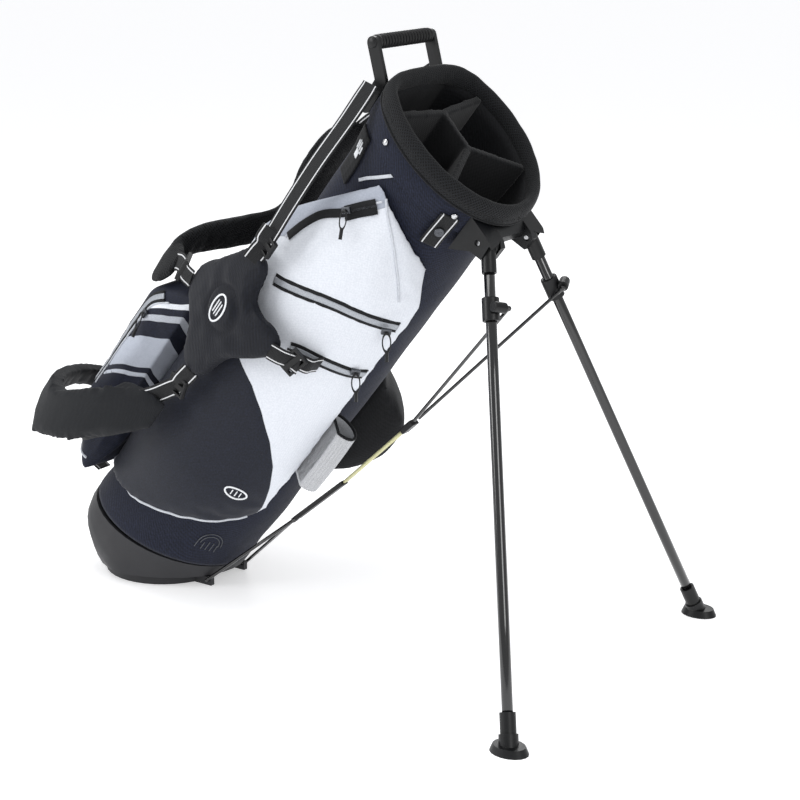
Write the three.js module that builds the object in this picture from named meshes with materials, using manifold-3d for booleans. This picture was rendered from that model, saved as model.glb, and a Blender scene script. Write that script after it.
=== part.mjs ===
// Golf stand bag, leaning on its two spread legs.  Millimetres, +Z up.
// The origin is the centre of the foot plate's sole, on the floor.  +X points from the base towards the feet.
// Nearly everything is modelled in the bag's own frame, a group that leans with the bag:
// local Z runs up the bag's axis, local X points to the leg side, and local Y is the same as the object's Y.
import * as THREE from 'three';
import { mergeVertices } from 'three/addons/utils/BufferGeometryUtils.js';
import Module from 'manifold-3d';

const wasm = await Module();
wasm.setup();

// ---- driving dimensions ----
const lean = 38;                    // degrees between the bag's axis and the vertical
const axisLift = 25;                // where the bag's axis passes above the origin
const clearance = 0.6;              // between pieces that sit in or on each other

const mouthHeight = 780;            // centre of the cuff, along the bag's axis
const mouthSlope = -0.185;          // the mouth is lower on the leg side
const topRadiusX = 101;             // outside of the shell at the top, front to back
const topRadiusY = 98;              // outside of the shell at the top, side to side
const footRadiusX = 114;            // outside of the shell at the base, front to back
const footRadiusY = 105;            // outside of the shell at the base, side to side
const footOffset = -17;             // the base is set back towards the spine
const flareStart = 20;              // the shell narrows between these two heights
const flareEnd = 260;
const topFlare = 6;                 // the shell opens a little under the cuff, between these two heights
const topFlareStart = mouthHeight - 90;
const topFlareEnd = mouthHeight - 35;
const backFlat = topRadiusX - 17;   // the shell's back is flat under the handle, above these heights
const backFlatStart = mouthHeight - 140;
const backFlatEnd = mouthHeight - 55;
const shellWall = 3;

const cupRimHeight = 50;            // rim of the base cup at the axis
const cupRimSlope = 0.3;
const cupWall = 4;

const cuffRadial = 8;               // half thickness of the padded roll, across the wall
const cuffAxial = 14;               // half height of the padded roll
const cuffCrestX = topRadiusX + cuffRadial + 3;
const cuffCrestY = topRadiusY + cuffRadial + 2;
const cuffBack = backFlat + cuffRadial - 4;
const collarHeight = 30;
const collarThickness = 4;

const dividerDepth = 180;
const dividerWall = 9;
const dividerGap = 1.6;              // between the divider and the wall around it
const stayRadius = 4;

const handleReach = 44;             // grip's distance outside the flat back
const handleHalfWidth = 60;
const handleBarRadius = 4;
const gripRadius = 9;
const armThickness = 6;
const armWidth = 15;

const legSpread = 242.5;            // sole centre's distance from the middle
const legForward = 155.4;           // sole centre's distance in front of the pivot, along the floor
const legPivot = new THREE.Vector3(topRadiusX + 23, 46, mouthHeight - 51);
const foldedFootX = legPivot.x + 36; // where the sole lies beside the bag when folded
const foldedFootY = 38;
const legRadius = 6.5;
const collarDrop = 77;              // pivot to the middle of the rod collar, along the leg
const legCollarRadius = legRadius + 4;
const legCollarLength = 28;
const bossReach = legRadius + 8.5;  // rod boss, in front of the leg
const bossRadius = 6.5;
const bossHalf = 9;
const eyeRadius = 3.6;
const pivotPinRadius = 3;
const hubRadius = legRadius + 2.5;

const plateRadius = 88;
const plateThickness = 12;
const cupFloorGap = 15;             // the base cup's underside stays this far above the floor
const rockerX = 14 - plateRadius;   // the foot plate's hinge, on the spine side
const rockerZ = 7;
const rockerPinRadius = 2.5;
const forkX = plateRadius + 16;     // the push rod's pivots on the foot plate
const forkZ = 9;
const forkHalfWidth = 44;
const forkWire = 2.4;
const forkMeet = new THREE.Vector3(124, 0, 199);
const sleeveEnd = new THREE.Vector3(148, 0, 306);
const junction = new THREE.Vector3(172, 0, 452);
const fibreRadius = 2;
const upperRodRadius = 2.2;

const pocketRadius = 145;           // outside of the full side pockets, from the bag's axis
const farRadius = 174;              // outside of the far pocket, which is shorter and fuller
const pocketFrontAngle = 33;        // the side pockets' front gusset, from the leg side
const strapWidth = 25;
const strapThickness = 2;
const pullLength = 34;

// ---- solids ----
function solidOf(geometry) {
  const bare = geometry.clone();
  bare.deleteAttribute('normal');
  bare.deleteAttribute('uv');
  const merged = mergeVertices(bare, 1e-3);
  const triangles = new Uint32Array(merged.index.array);
  const vertices = new Float32Array(merged.attributes.position.array);
  if (signedVolume(vertices, triangles) < 0) {
    for (let i = 0; i < triangles.length; i += 3) {
      [triangles[i], triangles[i + 1]] = [triangles[i + 1], triangles[i]];
    }
  }
  return new wasm.Manifold(new wasm.Mesh({ numProp: 3, vertProperties: vertices, triVerts: triangles }));
}

function signedVolume(vertices, triangles) {
  const corner = [new THREE.Vector3(), new THREE.Vector3(), new THREE.Vector3()];
  let sum = 0;
  for (let i = 0; i < triangles.length; i += 3) {
    for (let k = 0; k < 3; k++) {
      corner[k].fromArray(vertices, 3 * triangles[i + k]);
    }
    sum += corner[0].dot(corner[1].cross(corner[2]));
  }
  return sum;
}

function geometryOf(solid) {
  const mesh = solid.getMesh();
  const geometry = new THREE.BufferGeometry();
  geometry.setAttribute('position', new THREE.BufferAttribute(new Float32Array(mesh.vertProperties), 3));
  geometry.setIndex(new THREE.BufferAttribute(new Uint32Array(mesh.triVerts), 1));
  return geometry;
}

function joined(first, ...others) {
  return others.reduce((sum, solid) => sum.add(solid), first);
}

function shapeOf(points) {
  return new THREE.Shape(points.map(([u, v]) => new THREE.Vector2(u, v)));
}

// A side outline, given as (x, z) points, extruded from y0 to y1.
function sideProfile(points, y0 = -400, y1 = 400) {
  const geometry = new THREE.ExtrudeGeometry(shapeOf(points), { depth: y1 - y0, bevelEnabled: false });
  geometry.rotateX(Math.PI / 2);
  geometry.translate(0, y1, 0);
  return solidOf(geometry);
}

// A plan outline, given as (x, y) points, extruded from z0 to z1.
function planProfile(points, z0, z1) {
  const geometry = new THREE.ExtrudeGeometry(shapeOf(points), { depth: z1 - z0, bevelEnabled: false });
  geometry.translate(0, 0, z0);
  return solidOf(geometry);
}

function smoothOutline(points, divisions) {
  const curve = new THREE.SplineCurve(points.map(([u, v]) => new THREE.Vector2(u, v)));
  return curve.getPoints(divisions).map((p) => [p.x, p.y]);
}

function rodBetween(start, end, radius, sides = 10) {
  const geometry = new THREE.CylinderGeometry(radius, radius, start.distanceTo(end), sides);
  const turn = new THREE.Quaternion().setFromUnitVectors(
    new THREE.Vector3(0, 1, 0), end.clone().sub(start).normalize());
  geometry.applyQuaternion(turn);
  const middle = start.clone().add(end).multiplyScalar(0.5);
  geometry.translate(middle.x, middle.y, middle.z);
  return solidOf(geometry);
}

function crossRod(x, z, y0, y1, radius, sides = 12) {
  return rodBetween(new THREE.Vector3(x, y0, z), new THREE.Vector3(x, y1, z), radius, sides);
}

function boxAt(cx, cy, cz, sx, sy, sz) {
  const geometry = new THREE.BoxGeometry(sx, sy, sz);
  geometry.translate(cx, cy, cz);
  return solidOf(geometry);
}

function below(height, slope) {
  return sideProfile([[-400, -400], [400, -400], [400, height + 400 * slope], [-400, height - 400 * slope]]);
}

// A tube around the bag's axis whose outline at any height and angle comes from a function.
const tubeSides = 40;

function tubeSolid(outlineAt, heights) {
  const profile = [new THREE.Vector2(0, heights[0])];
  for (const z of heights) {
    profile.push(new THREE.Vector2(1, z));
  }
  profile.push(new THREE.Vector2(0, heights[heights.length - 1]));
  const geometry = new THREE.LatheGeometry(profile, tubeSides);
  const position = geometry.attributes.position;
  for (let i = 0; i < position.count; i++) {
    const [u, height, v] = [position.getX(i), position.getY(i), position.getZ(i)];
    const onWall = Math.hypot(u, v) > 0.5;
    const [x, y] = onWall ? outlineAt(Math.atan2(v, u), height) : outlineAt(null, height);
    position.setXYZ(i, x, y, height);
  }
  return solidOf(geometry);
}

const between = (from, to, t) => from + (to - from) * t;

function smoothStep(from, to, value) {
  const t = Math.min(1, Math.max(0, (value - from) / (to - from)));
  return t * t * (3 - 2 * t);
}

function shellOutline(offset) {
  return (angle, z) => {
    const t = smoothStep(flareStart, flareEnd, z);
    const centre = between(footOffset, 0, t);
    if (angle === null) {
      return [centre, 0];
    }
    const spread = offset + topFlare * smoothStep(topFlareStart, topFlareEnd, z);
    const rx = between(footRadiusX, topRadiusX, t) + spread;
    const ry = between(footRadiusY, topRadiusY, t) + spread;
    const back = between(footRadiusX, backFlat, smoothStep(backFlatStart, backFlatEnd, z)) + offset;
    const x = centre + rx * Math.cos(angle);
    return [z > backFlatStart ? Math.max(x, -back) : x, ry * Math.sin(angle)];
  };
}

const shellHeights = [
  -160, flareStart, 60, 100, 140, 180, 220, flareEnd, backFlatStart, backFlatStart + 25, topFlareStart,
  topFlareStart + 20, backFlatEnd, topFlareEnd, mouthHeight + 120,
];
const shellSolid = (offset) => tubeSolid(shellOutline(offset), shellHeights);
const shellOutside = shellSolid(0);
const aroundShell = shellSolid(clearance);
const mouthPlane = (drop) => below(mouthHeight - drop, mouthSlope);

// ---- the lean, and the floor seen from the bag's frame ----
const leanAngle = THREE.MathUtils.degToRad(lean);
const bag = new THREE.Group();
bag.rotation.y = leanAngle;
bag.position.z = axisLift;
bag.updateMatrixWorld(true);
const toBag = bag.matrixWorld.clone().invert();
const floorInBag = (height) => [(height - axisLift) / Math.cos(leanAngle), Math.tan(leanAngle)];
const inBag = (x, y, z) => new THREE.Vector3(x, y, z).applyMatrix4(toBag);

function movedToBag(solid) {
  return solidOf(geometryOf(solid).applyMatrix4(toBag));
}

// ---- materials ----
function finish(color, roughness, metalness = 0) {
  return new THREE.MeshStandardMaterial({ color, roughness, metalness });
}

const navyFabric = finish(0x1c2030, 0.85);
const blackFabric = finish(0x121316, 0.9);
const whiteFabric = finish(0xe9edf0, 0.7);
const greyMesh = finish(0xb0b1b3, 0.85);
const webbing = finish(0x15161a, 0.8);
const blackPlastic = finish(0x222427, 0.45);
const basePlastic = finish(0x38383b, 0.55);
const legEnamel = finish(0x101114, 0.25, 0.4);
const steel = finish(0xb8babd, 0.3, 1);
const fibre = finish(0xd8d6a8, 0.4);

const model = new THREE.Group();
model.add(bag);

function addPiece(parent, name, solid, material) {
  const mesh = new THREE.Mesh(geometryOf(solid), material);
  mesh.name = name;
  parent.add(mesh);
}

// ---- shell, base cup, collar, cuff ----
const rimPlane = (rise) => below(cupRimHeight + rise, cupRimSlope);
const shellTop = cuffAxial + 1;
const shell = shellOutside
  .intersect(mouthPlane(shellTop))
  .subtract(rimPlane(clearance))
  .subtract(shellSolid(-shellWall));
addPiece(bag, 'bag_shell', shell, navyFabric);

// The cup is closed below, parallel to the floor. Its heel is rounded off in two steps under the spine side.
const [cupFloor, floorSlope] = floorInBag(cupFloorGap);
const [cupInside] = floorInBag(cupFloorGap + cupWall);
// Each step is a height and how far the heel stands in there.
const heelSteps = [[-80, 94], [-66, 64], [-58, 61], [-39, 27], [-38, 19], [-15, 2.5], [0, 0]];
function heelInset(z) {
  const above = heelSteps.findIndex(([height]) => height >= z);
  if (above <= 0) {
    return above < 0 ? 0 : heelSteps[0][1];
  }
  const [[z0, inset0], [z1, inset1]] = [heelSteps[above - 1], heelSteps[above]];
  return between(inset0, inset1, (z - z0) / (z1 - z0));
}

const cupHeights = [-160, ...heelSteps.map(([height]) => height), ...shellHeights.slice(1)];
const cupSolid = (offset) => tubeSolid(
  (angle, z) => shellOutline(offset - heelInset(z))(angle, z), cupHeights);
const lugHalfGap = 26;
const lugWidth = 9;
const lugRadius = 5.5;
const hingeLugs = [-1, 1].map((side) => {
  const inner = side * lugHalfGap;
  const outer = side * (lugHalfGap + lugWidth);
  const [y0, y1] = [Math.min(inner, outer), Math.max(inner, outer)];
  const web = sideProfile([
    [rockerX - lugRadius, rockerZ], [rockerX + lugRadius, rockerZ],
    [rockerX + lugRadius, cupFloorGap + 2], [rockerX - lugRadius, cupFloorGap + 2],
  ], y0, y1);
  return movedToBag(web.add(crossRod(rockerX, rockerZ, y0, y1, lugRadius)));
});
const rockerBore = movedToBag(crossRod(rockerX, rockerZ, -60, 60, rockerPinRadius + clearance));
const cup = joined(
  cupSolid(0)
    .intersect(rimPlane(0))
    .subtract(below(cupFloor, floorSlope))
    .subtract(cupSolid(-cupWall).subtract(below(cupInside, floorSlope))),
  ...hingeLugs,
).subtract(rockerBore);
addPiece(bag, 'base_cup', cup, basePlastic);

const armLow = new THREE.Vector2(-backFlat - 12, mouthHeight - 32);
const armKnee = new THREE.Vector2(-backFlat - 14, mouthHeight + 6);
const armTop = new THREE.Vector2(-backFlat - handleReach - 6, mouthHeight + 34);

function armSolid(side, extra) {
  const half = armWidth / 2 + extra;
  const y0 = side * handleHalfWidth - armThickness / 2 - extra;
  const y1 = side * handleHalfWidth + armThickness / 2 + extra;
  const run = (from, to) => {
    const along = to.clone().sub(from).normalize();
    const out = new THREE.Vector2(-along.y, along.x).multiplyScalar(half);
    return sideProfile([
      [from.x + out.x, from.y + out.y], [to.x + out.x, to.y + out.y],
      [to.x - out.x, to.y - out.y], [from.x - out.x, from.y - out.y],
    ], y0, y1);
  };
  const ends = [armLow, armKnee, armTop].map((p) => crossRod(p.x, p.y, y0, y1, half, 16));
  return joined(run(armLow, armKnee), run(armKnee, armTop), ...ends);
}

const armSpace = armSolid(-1, clearance).add(armSolid(1, clearance));
const collarOuter = tubeSolid(shellOutline(collarThickness), shellHeights);
const collar = collarOuter
  .subtract(aroundShell)
  .intersect(mouthPlane(shellTop))
  .subtract(mouthPlane(shellTop + collarHeight))
  .subtract(armSpace);
addPiece(bag, 'top_collar', collar, blackPlastic);

const rollSides = 10;
const cuffGeometry = new THREE.TorusGeometry(1, 0.5, rollSides, tubeSides);
const cuffPoints = cuffGeometry.attributes.position;
for (let i = 0; i < cuffPoints.count; i++) {
  const [u, v, w] = [cuffPoints.getX(i), cuffPoints.getY(i), cuffPoints.getZ(i)];
  const around = Math.atan2(v, u);
  const out = (Math.hypot(u, v) - 1) * 2 * cuffRadial;
  const x = Math.max(cuffCrestX * Math.cos(around), -cuffBack) + out * Math.cos(around);
  const z = mouthHeight + x * mouthSlope + w * 2 * cuffAxial;
  cuffPoints.setXYZ(i, x, (cuffCrestY + out) * Math.sin(around), z);
}
addPiece(bag, 'cuff_roll', solidOf(cuffGeometry).subtract(armSpace), blackFabric);

// ---- club divider and stays ----
const dividerRuns = [
  [[-50, -150], [-36, 0]], [[-36, 0], [-50, 150]], [[-36, 0], [16, 0]],
  [[16, 0], [82, -130]], [[16, 0], [82, 130]],
];

function wallAlong([from, to], z0, z1) {
  const along = new THREE.Vector2(to[0] - from[0], to[1] - from[1]);
  along.normalize().multiplyScalar(dividerWall / 2);
  const post = new THREE.CylinderGeometry(dividerWall / 2, dividerWall / 2, z1 - z0, 12);
  post.rotateX(Math.PI / 2);
  post.translate(from[0], from[1], (z0 + z1) / 2);
  return planProfile([
    [from[0] - along.y, from[1] + along.x], [from[0] + along.y, from[1] - along.x],
    [to[0] + along.y, to[1] - along.x], [to[0] - along.y, to[1] + along.x],
  ], z0, z1).add(solidOf(post));
}

const stayAngles = { spine_stay: 180, near_stay: -78, far_stay: 78 };
const stayInset = shellWall + stayRadius + clearance;
const stayFoot = 90;
const stays = Object.entries(stayAngles).map(([name, degrees]) => {
  const angle = THREE.MathUtils.degToRad(degrees);
  const [x, y] = shellOutline(-stayInset)(angle, flareEnd);
  const foot = new THREE.Vector3(x, y, stayFoot);
  const headZ = degrees === 180 ? backFlatStart - 5 : mouthHeight - shellTop - 12 + mouthSlope * x;
  const head = new THREE.Vector3(x, y, headZ);
  return [name, rodBetween(foot, head, stayRadius), rodBetween(foot, head, stayRadius + clearance)];
});
const dividerWalls = dividerRuns.map((run) => wallAlong(run, mouthHeight - dividerDepth, mouthHeight + 30));
const divider = joined(...dividerWalls)
  .intersect(mouthPlane(1))
  .intersect(shellSolid(-shellWall - dividerGap))
  .subtract(joined(...stays.map(([, , space]) => space)));
addPiece(bag, 'club_divider', divider, blackFabric);
for (const [name, solid] of stays) {
  addPiece(bag, name, solid, blackPlastic);
}

// ---- handle ----
const handleInner = handleHalfWidth - armThickness / 2;
const handleBar = crossRod(armTop.x, armTop.y, -handleInner - 1, handleInner + 1, handleBarRadius);
addPiece(bag, 'handle_frame', joined(armSolid(-1, 0), armSolid(1, 0), handleBar), blackPlastic);
const gripHalf = handleInner - clearance;
const grip = crossRod(armTop.x, armTop.y, -gripHalf, gripHalf, gripRadius, 20)
  .subtract(crossRod(armTop.x, armTop.y, -handleHalfWidth, handleHalfWidth, handleBarRadius + clearance));
addPiece(bag, 'handle_grip', grip, blackPlastic);

// ---- leg housing: a saddle on the collar with a socket for each leg ----
function legDirections(side) {
  const pivot = new THREE.Vector3(legPivot.x, side * legPivot.y, legPivot.z);
  const pivotAbove = pivot.clone().applyMatrix4(bag.matrixWorld);
  const drop = pivotAbove.z;
  const sideways = legSpread - legPivot.y;
  const legLength = Math.hypot(legForward, drop, sideways);
  const sole = new THREE.Vector3(pivotAbove.x + legForward, side * legSpread, 0);
  const open = inBag(sole.x, sole.y, sole.z).sub(pivot).normalize();
  const foldedX = foldedFootX - pivot.x;
  const foldedY = foldedFootY - legPivot.y;
  const foldedDrop = Math.sqrt(legLength ** 2 - foldedX ** 2 - foldedY ** 2);
  const folded = new THREE.Vector3(foldedX, side * foldedY, -foldedDrop).normalize();
  const axis = new THREE.Vector3().crossVectors(open, folded).normalize();
  const swing = open.angleTo(folded);
  return { pivot, open, axis, swing, sole, legLength };
}

function turned(solid, frame) {
  return solidOf(geometryOf(solid).applyMatrix4(frame));
}

const legs = [['near', -1], ['far', 1]].map(([name, side]) => {
  const { pivot, open, axis, swing, sole, legLength } = legDirections(side);
  const up = open.clone().negate();
  const across = new THREE.Vector3().crossVectors(axis, up);
  const frame = new THREE.Matrix4().makeBasis(across, axis, up).setPosition(pivot);
  return { name, side, pivot, swing, sole, legLength, frame };
});

const socketHalf = hubRadius + 6;
const socketGap = 1.2;
const housingTop = mouthHeight - shellTop - clearance;
const sockets = legs.map(({ side, pivot }) => {
  const { x, y, z } = pivot;
  return sideProfile([
    [x - 32, z + 24], [x - 6, z + 20], [x + 14, z + 6], [x + 14, z - 12], [x - 8, z - 15], [x - 32, z - 34],
  ], y - socketHalf, y + socketHalf);
});
const bridge = sideProfile([
  [legPivot.x - 32, legPivot.z + 18], [legPivot.x - 12, legPivot.z + 16], [legPivot.x, legPivot.z + 6],
  [legPivot.x, legPivot.z - 4], [legPivot.x - 32, legPivot.z - 20],
], -legPivot.y, legPivot.y);
// Each leg turns back under the housing, so its slot covers the whole swing from open to folded.
const sweepRadius = hubRadius + 2.2;
const hubSweep = legs.map(({ frame, swing }) => {
  const reachDown = 70;
  const [sine, cosine] = [Math.sin(swing), Math.cos(swing)];
  const space = joined(
    crossRod(0, 0, -hubRadius - socketGap, hubRadius + socketGap, sweepRadius, 24),
    sideProfile([
      [sweepRadius, 0], [sweepRadius + 30, -reachDown], [-reachDown * sine, -reachDown - 20],
      [-reachDown * sine - sweepRadius * cosine, -reachDown * cosine + sweepRadius * sine],
      [-sweepRadius * cosine, sweepRadius * sine],
    ], -hubRadius - socketGap, hubRadius + socketGap),
  );
  return turned(space, frame);
});
const pinHalf = hubRadius + socketGap + 5;
const pinSpace = legs.map(({ frame }) => turned(crossRod(0, 0, -60, 60, pivotPinRadius + clearance), frame));
const collarSpace = tubeSolid(shellOutline(collarThickness + clearance), shellHeights);
let housing = joined(bridge, ...sockets).intersect(below(housingTop, mouthSlope)).subtract(collarSpace);
for (const space of [...hubSweep, ...pinSpace]) {
  housing = housing.subtract(space);
}
addPiece(bag, 'leg_housing', housing, blackPlastic);

// ---- legs: each is built along its own -Z from the pivot, turned about its own Y ----
const hubLength = 34;
const tubeTop = -20;
for (const { name, frame, sole, legLength } of legs) {
  const bootTop = -legLength + 44;
  const bootBore = -legLength + 16;
  const post = (radius, z0, z1, sides = 14) => rodBetween(
    new THREE.Vector3(0, 0, z0), new THREE.Vector3(0, 0, z1), radius, sides);
  const bore = (z0, z1) => post(legRadius + clearance / 2, z0, z1);
  const tube = post(legRadius, bootBore + 1, tubeTop);
  const hub = joined(crossRod(0, 0, -hubRadius, hubRadius, hubRadius, 16), post(hubRadius, -hubLength, 0))
    .subtract(bore(-hubLength - 1, tubeTop + 1))
    .subtract(crossRod(0, 0, -20, 20, pivotPinRadius + clearance / 2));
  const boss = crossRod(bossReach, -collarDrop, -bossHalf, bossHalf, bossRadius, 14);
  const collarEnd = legCollarLength / 2;
  const legCollar = post(legCollarRadius, -collarDrop - collarEnd, -collarDrop + collarEnd)
    .add(boss).subtract(bore(-collarDrop - 40, -collarDrop + 40));
  addPiece(bag, `leg_hub_${name}`, turned(hub, frame), blackPlastic);
  addPiece(bag, `leg_tube_${name}`, turned(tube, frame), legEnamel);
  addPiece(bag, `leg_collar_${name}`, turned(legCollar, frame), blackPlastic);
  const pin = crossRod(0, 0, -pinHalf, pinHalf, pivotPinRadius);
  addPiece(bag, `pivot_pin_${name}`, turned(pin, frame), steel);

  // The boot's sole lies flat on the floor, so it is finished in the object's frame.
  const toFloor = bag.matrixWorld.clone().multiply(frame);
  const ankle = turned(joined(
    post(legRadius + 3, -legLength - 12, bootTop),
    post(legRadius + 5, -legLength - 12, bootTop - 24),
  ), toFloor);
  const pad = new THREE.CylinderGeometry(20, 24, 9, 18);
  pad.rotateX(Math.PI / 2);
  pad.scale(1, 0.74, 1);
  pad.translate(sole.x, sole.y, 4.5);
  const boot = joined(ankle, solidOf(pad))
    .subtract(boxAt(sole.x, sole.y, -50, 400, 400, 100))
    .subtract(turned(bore(bootBore, 0), toFloor));
  addPiece(model, `leg_foot_${name}`, boot, blackPlastic);
}

// ---- foot plate and its hinge pin ----
const tongueHalf = lugHalfGap - 1;
const plateDisc = new THREE.CylinderGeometry(plateRadius, plateRadius, plateThickness, 40);
plateDisc.rotateX(Math.PI / 2);
plateDisc.translate(0, 0, plateThickness / 2);
const lugMiddle = lugHalfGap + lugWidth / 2;
const lugNotch = [-1, 1].map((side) => boxAt(
  rockerX - 10, side * lugMiddle, plateThickness / 2, 40, lugWidth + 2, plateThickness + 2));
const forkLugs = [-1, 1].map((side) => boxAt(
  (forkX + 60) / 2, side * (forkHalfWidth - 8), forkZ / 2 + 1.5, forkX - 60 + 8, 7, forkZ + 3));
const plateHeel = rockerX - rockerPinRadius - 2.5;
let plate = joined(solidOf(plateDisc), ...forkLugs)
  .subtract(boxAt(plateHeel - 50, 0, plateThickness / 2, 100, 200, plateThickness + 2));
for (const notch of lugNotch) {
  plate = plate.subtract(notch);
}
plate = plate
  .subtract(crossRod(rockerX, rockerZ, -60, 60, rockerPinRadius + clearance / 2))
  .subtract(crossRod(forkX, forkZ, -60, 60, forkWire + clearance / 2));
addPiece(model, 'foot_plate', plate, basePlastic);
const rockerPinHalf = lugHalfGap + lugWidth;
const rockerPin = crossRod(rockerX, rockerZ, -rockerPinHalf, rockerPinHalf, rockerPinRadius);
addPiece(model, 'rocker_pin', rockerPin, steel);

// ---- push rods ----
const forkFoot = (side) => inBag(forkX, side * forkHalfWidth, forkZ);
const rodLine = sleeveEnd.clone().sub(forkMeet).normalize();
const forkHead = forkMeet.clone().addScaledVector(rodLine, 8);
const prongs = [-1, 1].map((side) => {
  const stub = rodBetween(forkFoot(side), inBag(forkX, side * (forkHalfWidth - 11.2), forkZ), forkWire);
  return joined(rodBetween(forkFoot(side), forkMeet, forkWire), stub, ball(forkFoot(side), forkWire));
});

function ball(centre, radius) {
  const geometry = new THREE.SphereGeometry(radius, 10, 6);
  geometry.translate(centre.x, centre.y, centre.z);
  return solidOf(geometry);
}

function barAlong(start, end, width, depth) {
  const geometry = new THREE.BoxGeometry(depth, width, start.distanceTo(end));
  const along = end.clone().sub(start).normalize();
  const side = new THREE.Vector3(0, 1, 0);
  const frame = new THREE.Matrix4().makeBasis(new THREE.Vector3().crossVectors(side, along), side, along);
  frame.setPosition(start.clone().add(end).multiplyScalar(0.5));
  return solidOf(geometry.applyMatrix4(frame));
}

addPiece(bag, 'lower_fork', joined(...prongs, rodBetween(forkMeet, forkHead, 3.6)), legEnamel);
const sleeveStart = forkHead.clone().addScaledVector(rodLine, clearance);
addPiece(bag, 'rod_sleeve', barAlong(sleeveStart, sleeveEnd, 13, 6), blackPlastic);
const fibreLine = junction.clone().sub(sleeveEnd).normalize();
const fibreStart = sleeveEnd.clone().addScaledVector(fibreLine, clearance + 1);
const clipStart = junction.clone().addScaledVector(fibreLine, -22);
const fibreEnd = clipStart.clone().addScaledVector(fibreLine, -clearance);
for (const [name, side] of [['near', -1], ['far', 1]]) {
  const shift = new THREE.Vector3(0, side * (fibreRadius + 0.6), 0);
  const rod = rodBetween(fibreStart.clone().add(shift), fibreEnd.clone().add(shift), fibreRadius, 8);
  addPiece(bag, `fibre_rod_${name}`, rod, fibre);
}
addPiece(bag, 'rod_junction', barAlong(clipStart, junction, 15, 8), blackPlastic);
for (const { name, side, frame } of legs) {
  const eyeSide = -side * (bossHalf + clearance + eyeRadius + 1);
  const eye = new THREE.Vector3(bossReach, eyeSide, -collarDrop).applyMatrix4(frame);
  const start = junction.clone().add(new THREE.Vector3(0, side * 4, 0));
  const line = eye.clone().sub(start).normalize();
  start.addScaledVector(line, 5);
  const rod = joined(rodBetween(start, eye, upperRodRadius), ball(eye, eyeRadius));
  addPiece(bag, `upper_rod_${name}`, rod, legEnamel);
}

// ---- pockets: each is a full pouch on the shell, cut to its outline as seen from the side ----
function pouchOutline(radius, from, to, lowFrom, lowTo, lowShare) {
  return (angle, z) => {
    if (angle === null) {
      return shellOutline(0)(null, z);
    }
    const [x, y] = shellOutline(4)(angle, z);
    const top = 1 - smoothStep(from, to, z);
    const bottom = lowShare + (1 - lowShare) * smoothStep(lowFrom, lowTo, z);
    const full = Math.min(top, bottom);
    return [between(x, radius * Math.cos(angle), full), between(y, radius * Math.sin(angle), full)];
  };
}

const pouchHeights = [40, 90, 120, 150, 180, 210, 240, 280, 400, 560, 590, 620, 650, 680, 705, 730, 760];
const sideOutline = pouchOutline(pocketRadius, 585, 745, 60, 250, 0.35);
const sidePouch = tubeSolid(sideOutline, pouchHeights).subtract(aroundShell);
const frontRad = THREE.MathUtils.degToRad(pocketFrontAngle);
const reach = 400;
const frontCut = planProfile([
  [0, 0], [reach * Math.cos(frontRad), -reach * Math.sin(frontRad)],
  [reach, reach], [-reach, reach], [-reach, 0],
], -100, 900);

const pocketSeamX = -topRadiusX - 17; // where the ball pocket meets the side pockets
const nearEdge = smoothOutline([
  [pocketSeamX, 76], [-54, 103], [20, 143], [84, 187], [116, 236], [139, 290], [141, 420], [136, 540],
  [118, 612],  [70, 672], [0, 716],
], 30);
const nearOutline = sideProfile([
  ...nearEdge, [-8, 716], [-84, 606], [pocketSeamX + 2, 540], [pocketSeamX, 480],
]);
addPiece(bag, 'near_pocket', sidePouch.intersect(nearOutline).subtract(frontCut), whiteFabric);

const farFade = pouchOutline(farRadius, 361, 428, 204, 306, 0.06);
const farHeights = [186, 204, 221, 241, 261, 281, 306, 361, 376, 391, 406, 428, 446];
const farEdge = smoothOutline([
  [-100, 212], [0, 216], [70, 228], [109, 253], [132, 288], [142, 326], [138, 366], [118, 402], [76, 422],
], 22);
const farOutline = sideProfile([...farEdge, [pocketSeamX, 428], [pocketSeamX, 212]]);
const flip = new THREE.Matrix4().makeScale(1, -1, 1);
const farPouch = turned(tubeSolid(farFade, farHeights).subtract(aroundShell).subtract(frontCut), flip);
addPiece(bag, 'far_pocket', farPouch.intersect(farOutline), blackFabric);

const ballDepth = -205;
const ballCorner = [-190, -88];
const ballShoulder = [-160, -104];
const ballSeamY = -108;
const ballPlan = [
  [pocketSeamX - clearance, ballSeamY], ballShoulder, ballCorner, [ballDepth, -55], [ballDepth - 3, 0],
];
const ballMirror = ballPlan.slice(0, -1).reverse().map(([x, y]) => [x, -y]);
const ballEdge = smoothOutline([
  [-90, 66], [-140, 63], [-170, 73], [-200, 110], [-212, 160], [-212, 250], [-202, 320], [-172, 380],
  [-90, 450],
], 24);
const ballFade = pouchOutline(225, 330, 480, 30, 190, 0.35);
const ballPouch = planProfile([...ballPlan, ...ballMirror], 0, 700)
  .intersect(sideProfile(ballEdge))
  .intersect(tubeSolid(ballFade, [30, 60, 90, 130, 170, 200, 330, 360, 400, 440, 480]))
  .subtract(aroundShell);
addPiece(bag, 'ball_pocket', ballPouch, navyFabric);

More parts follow.
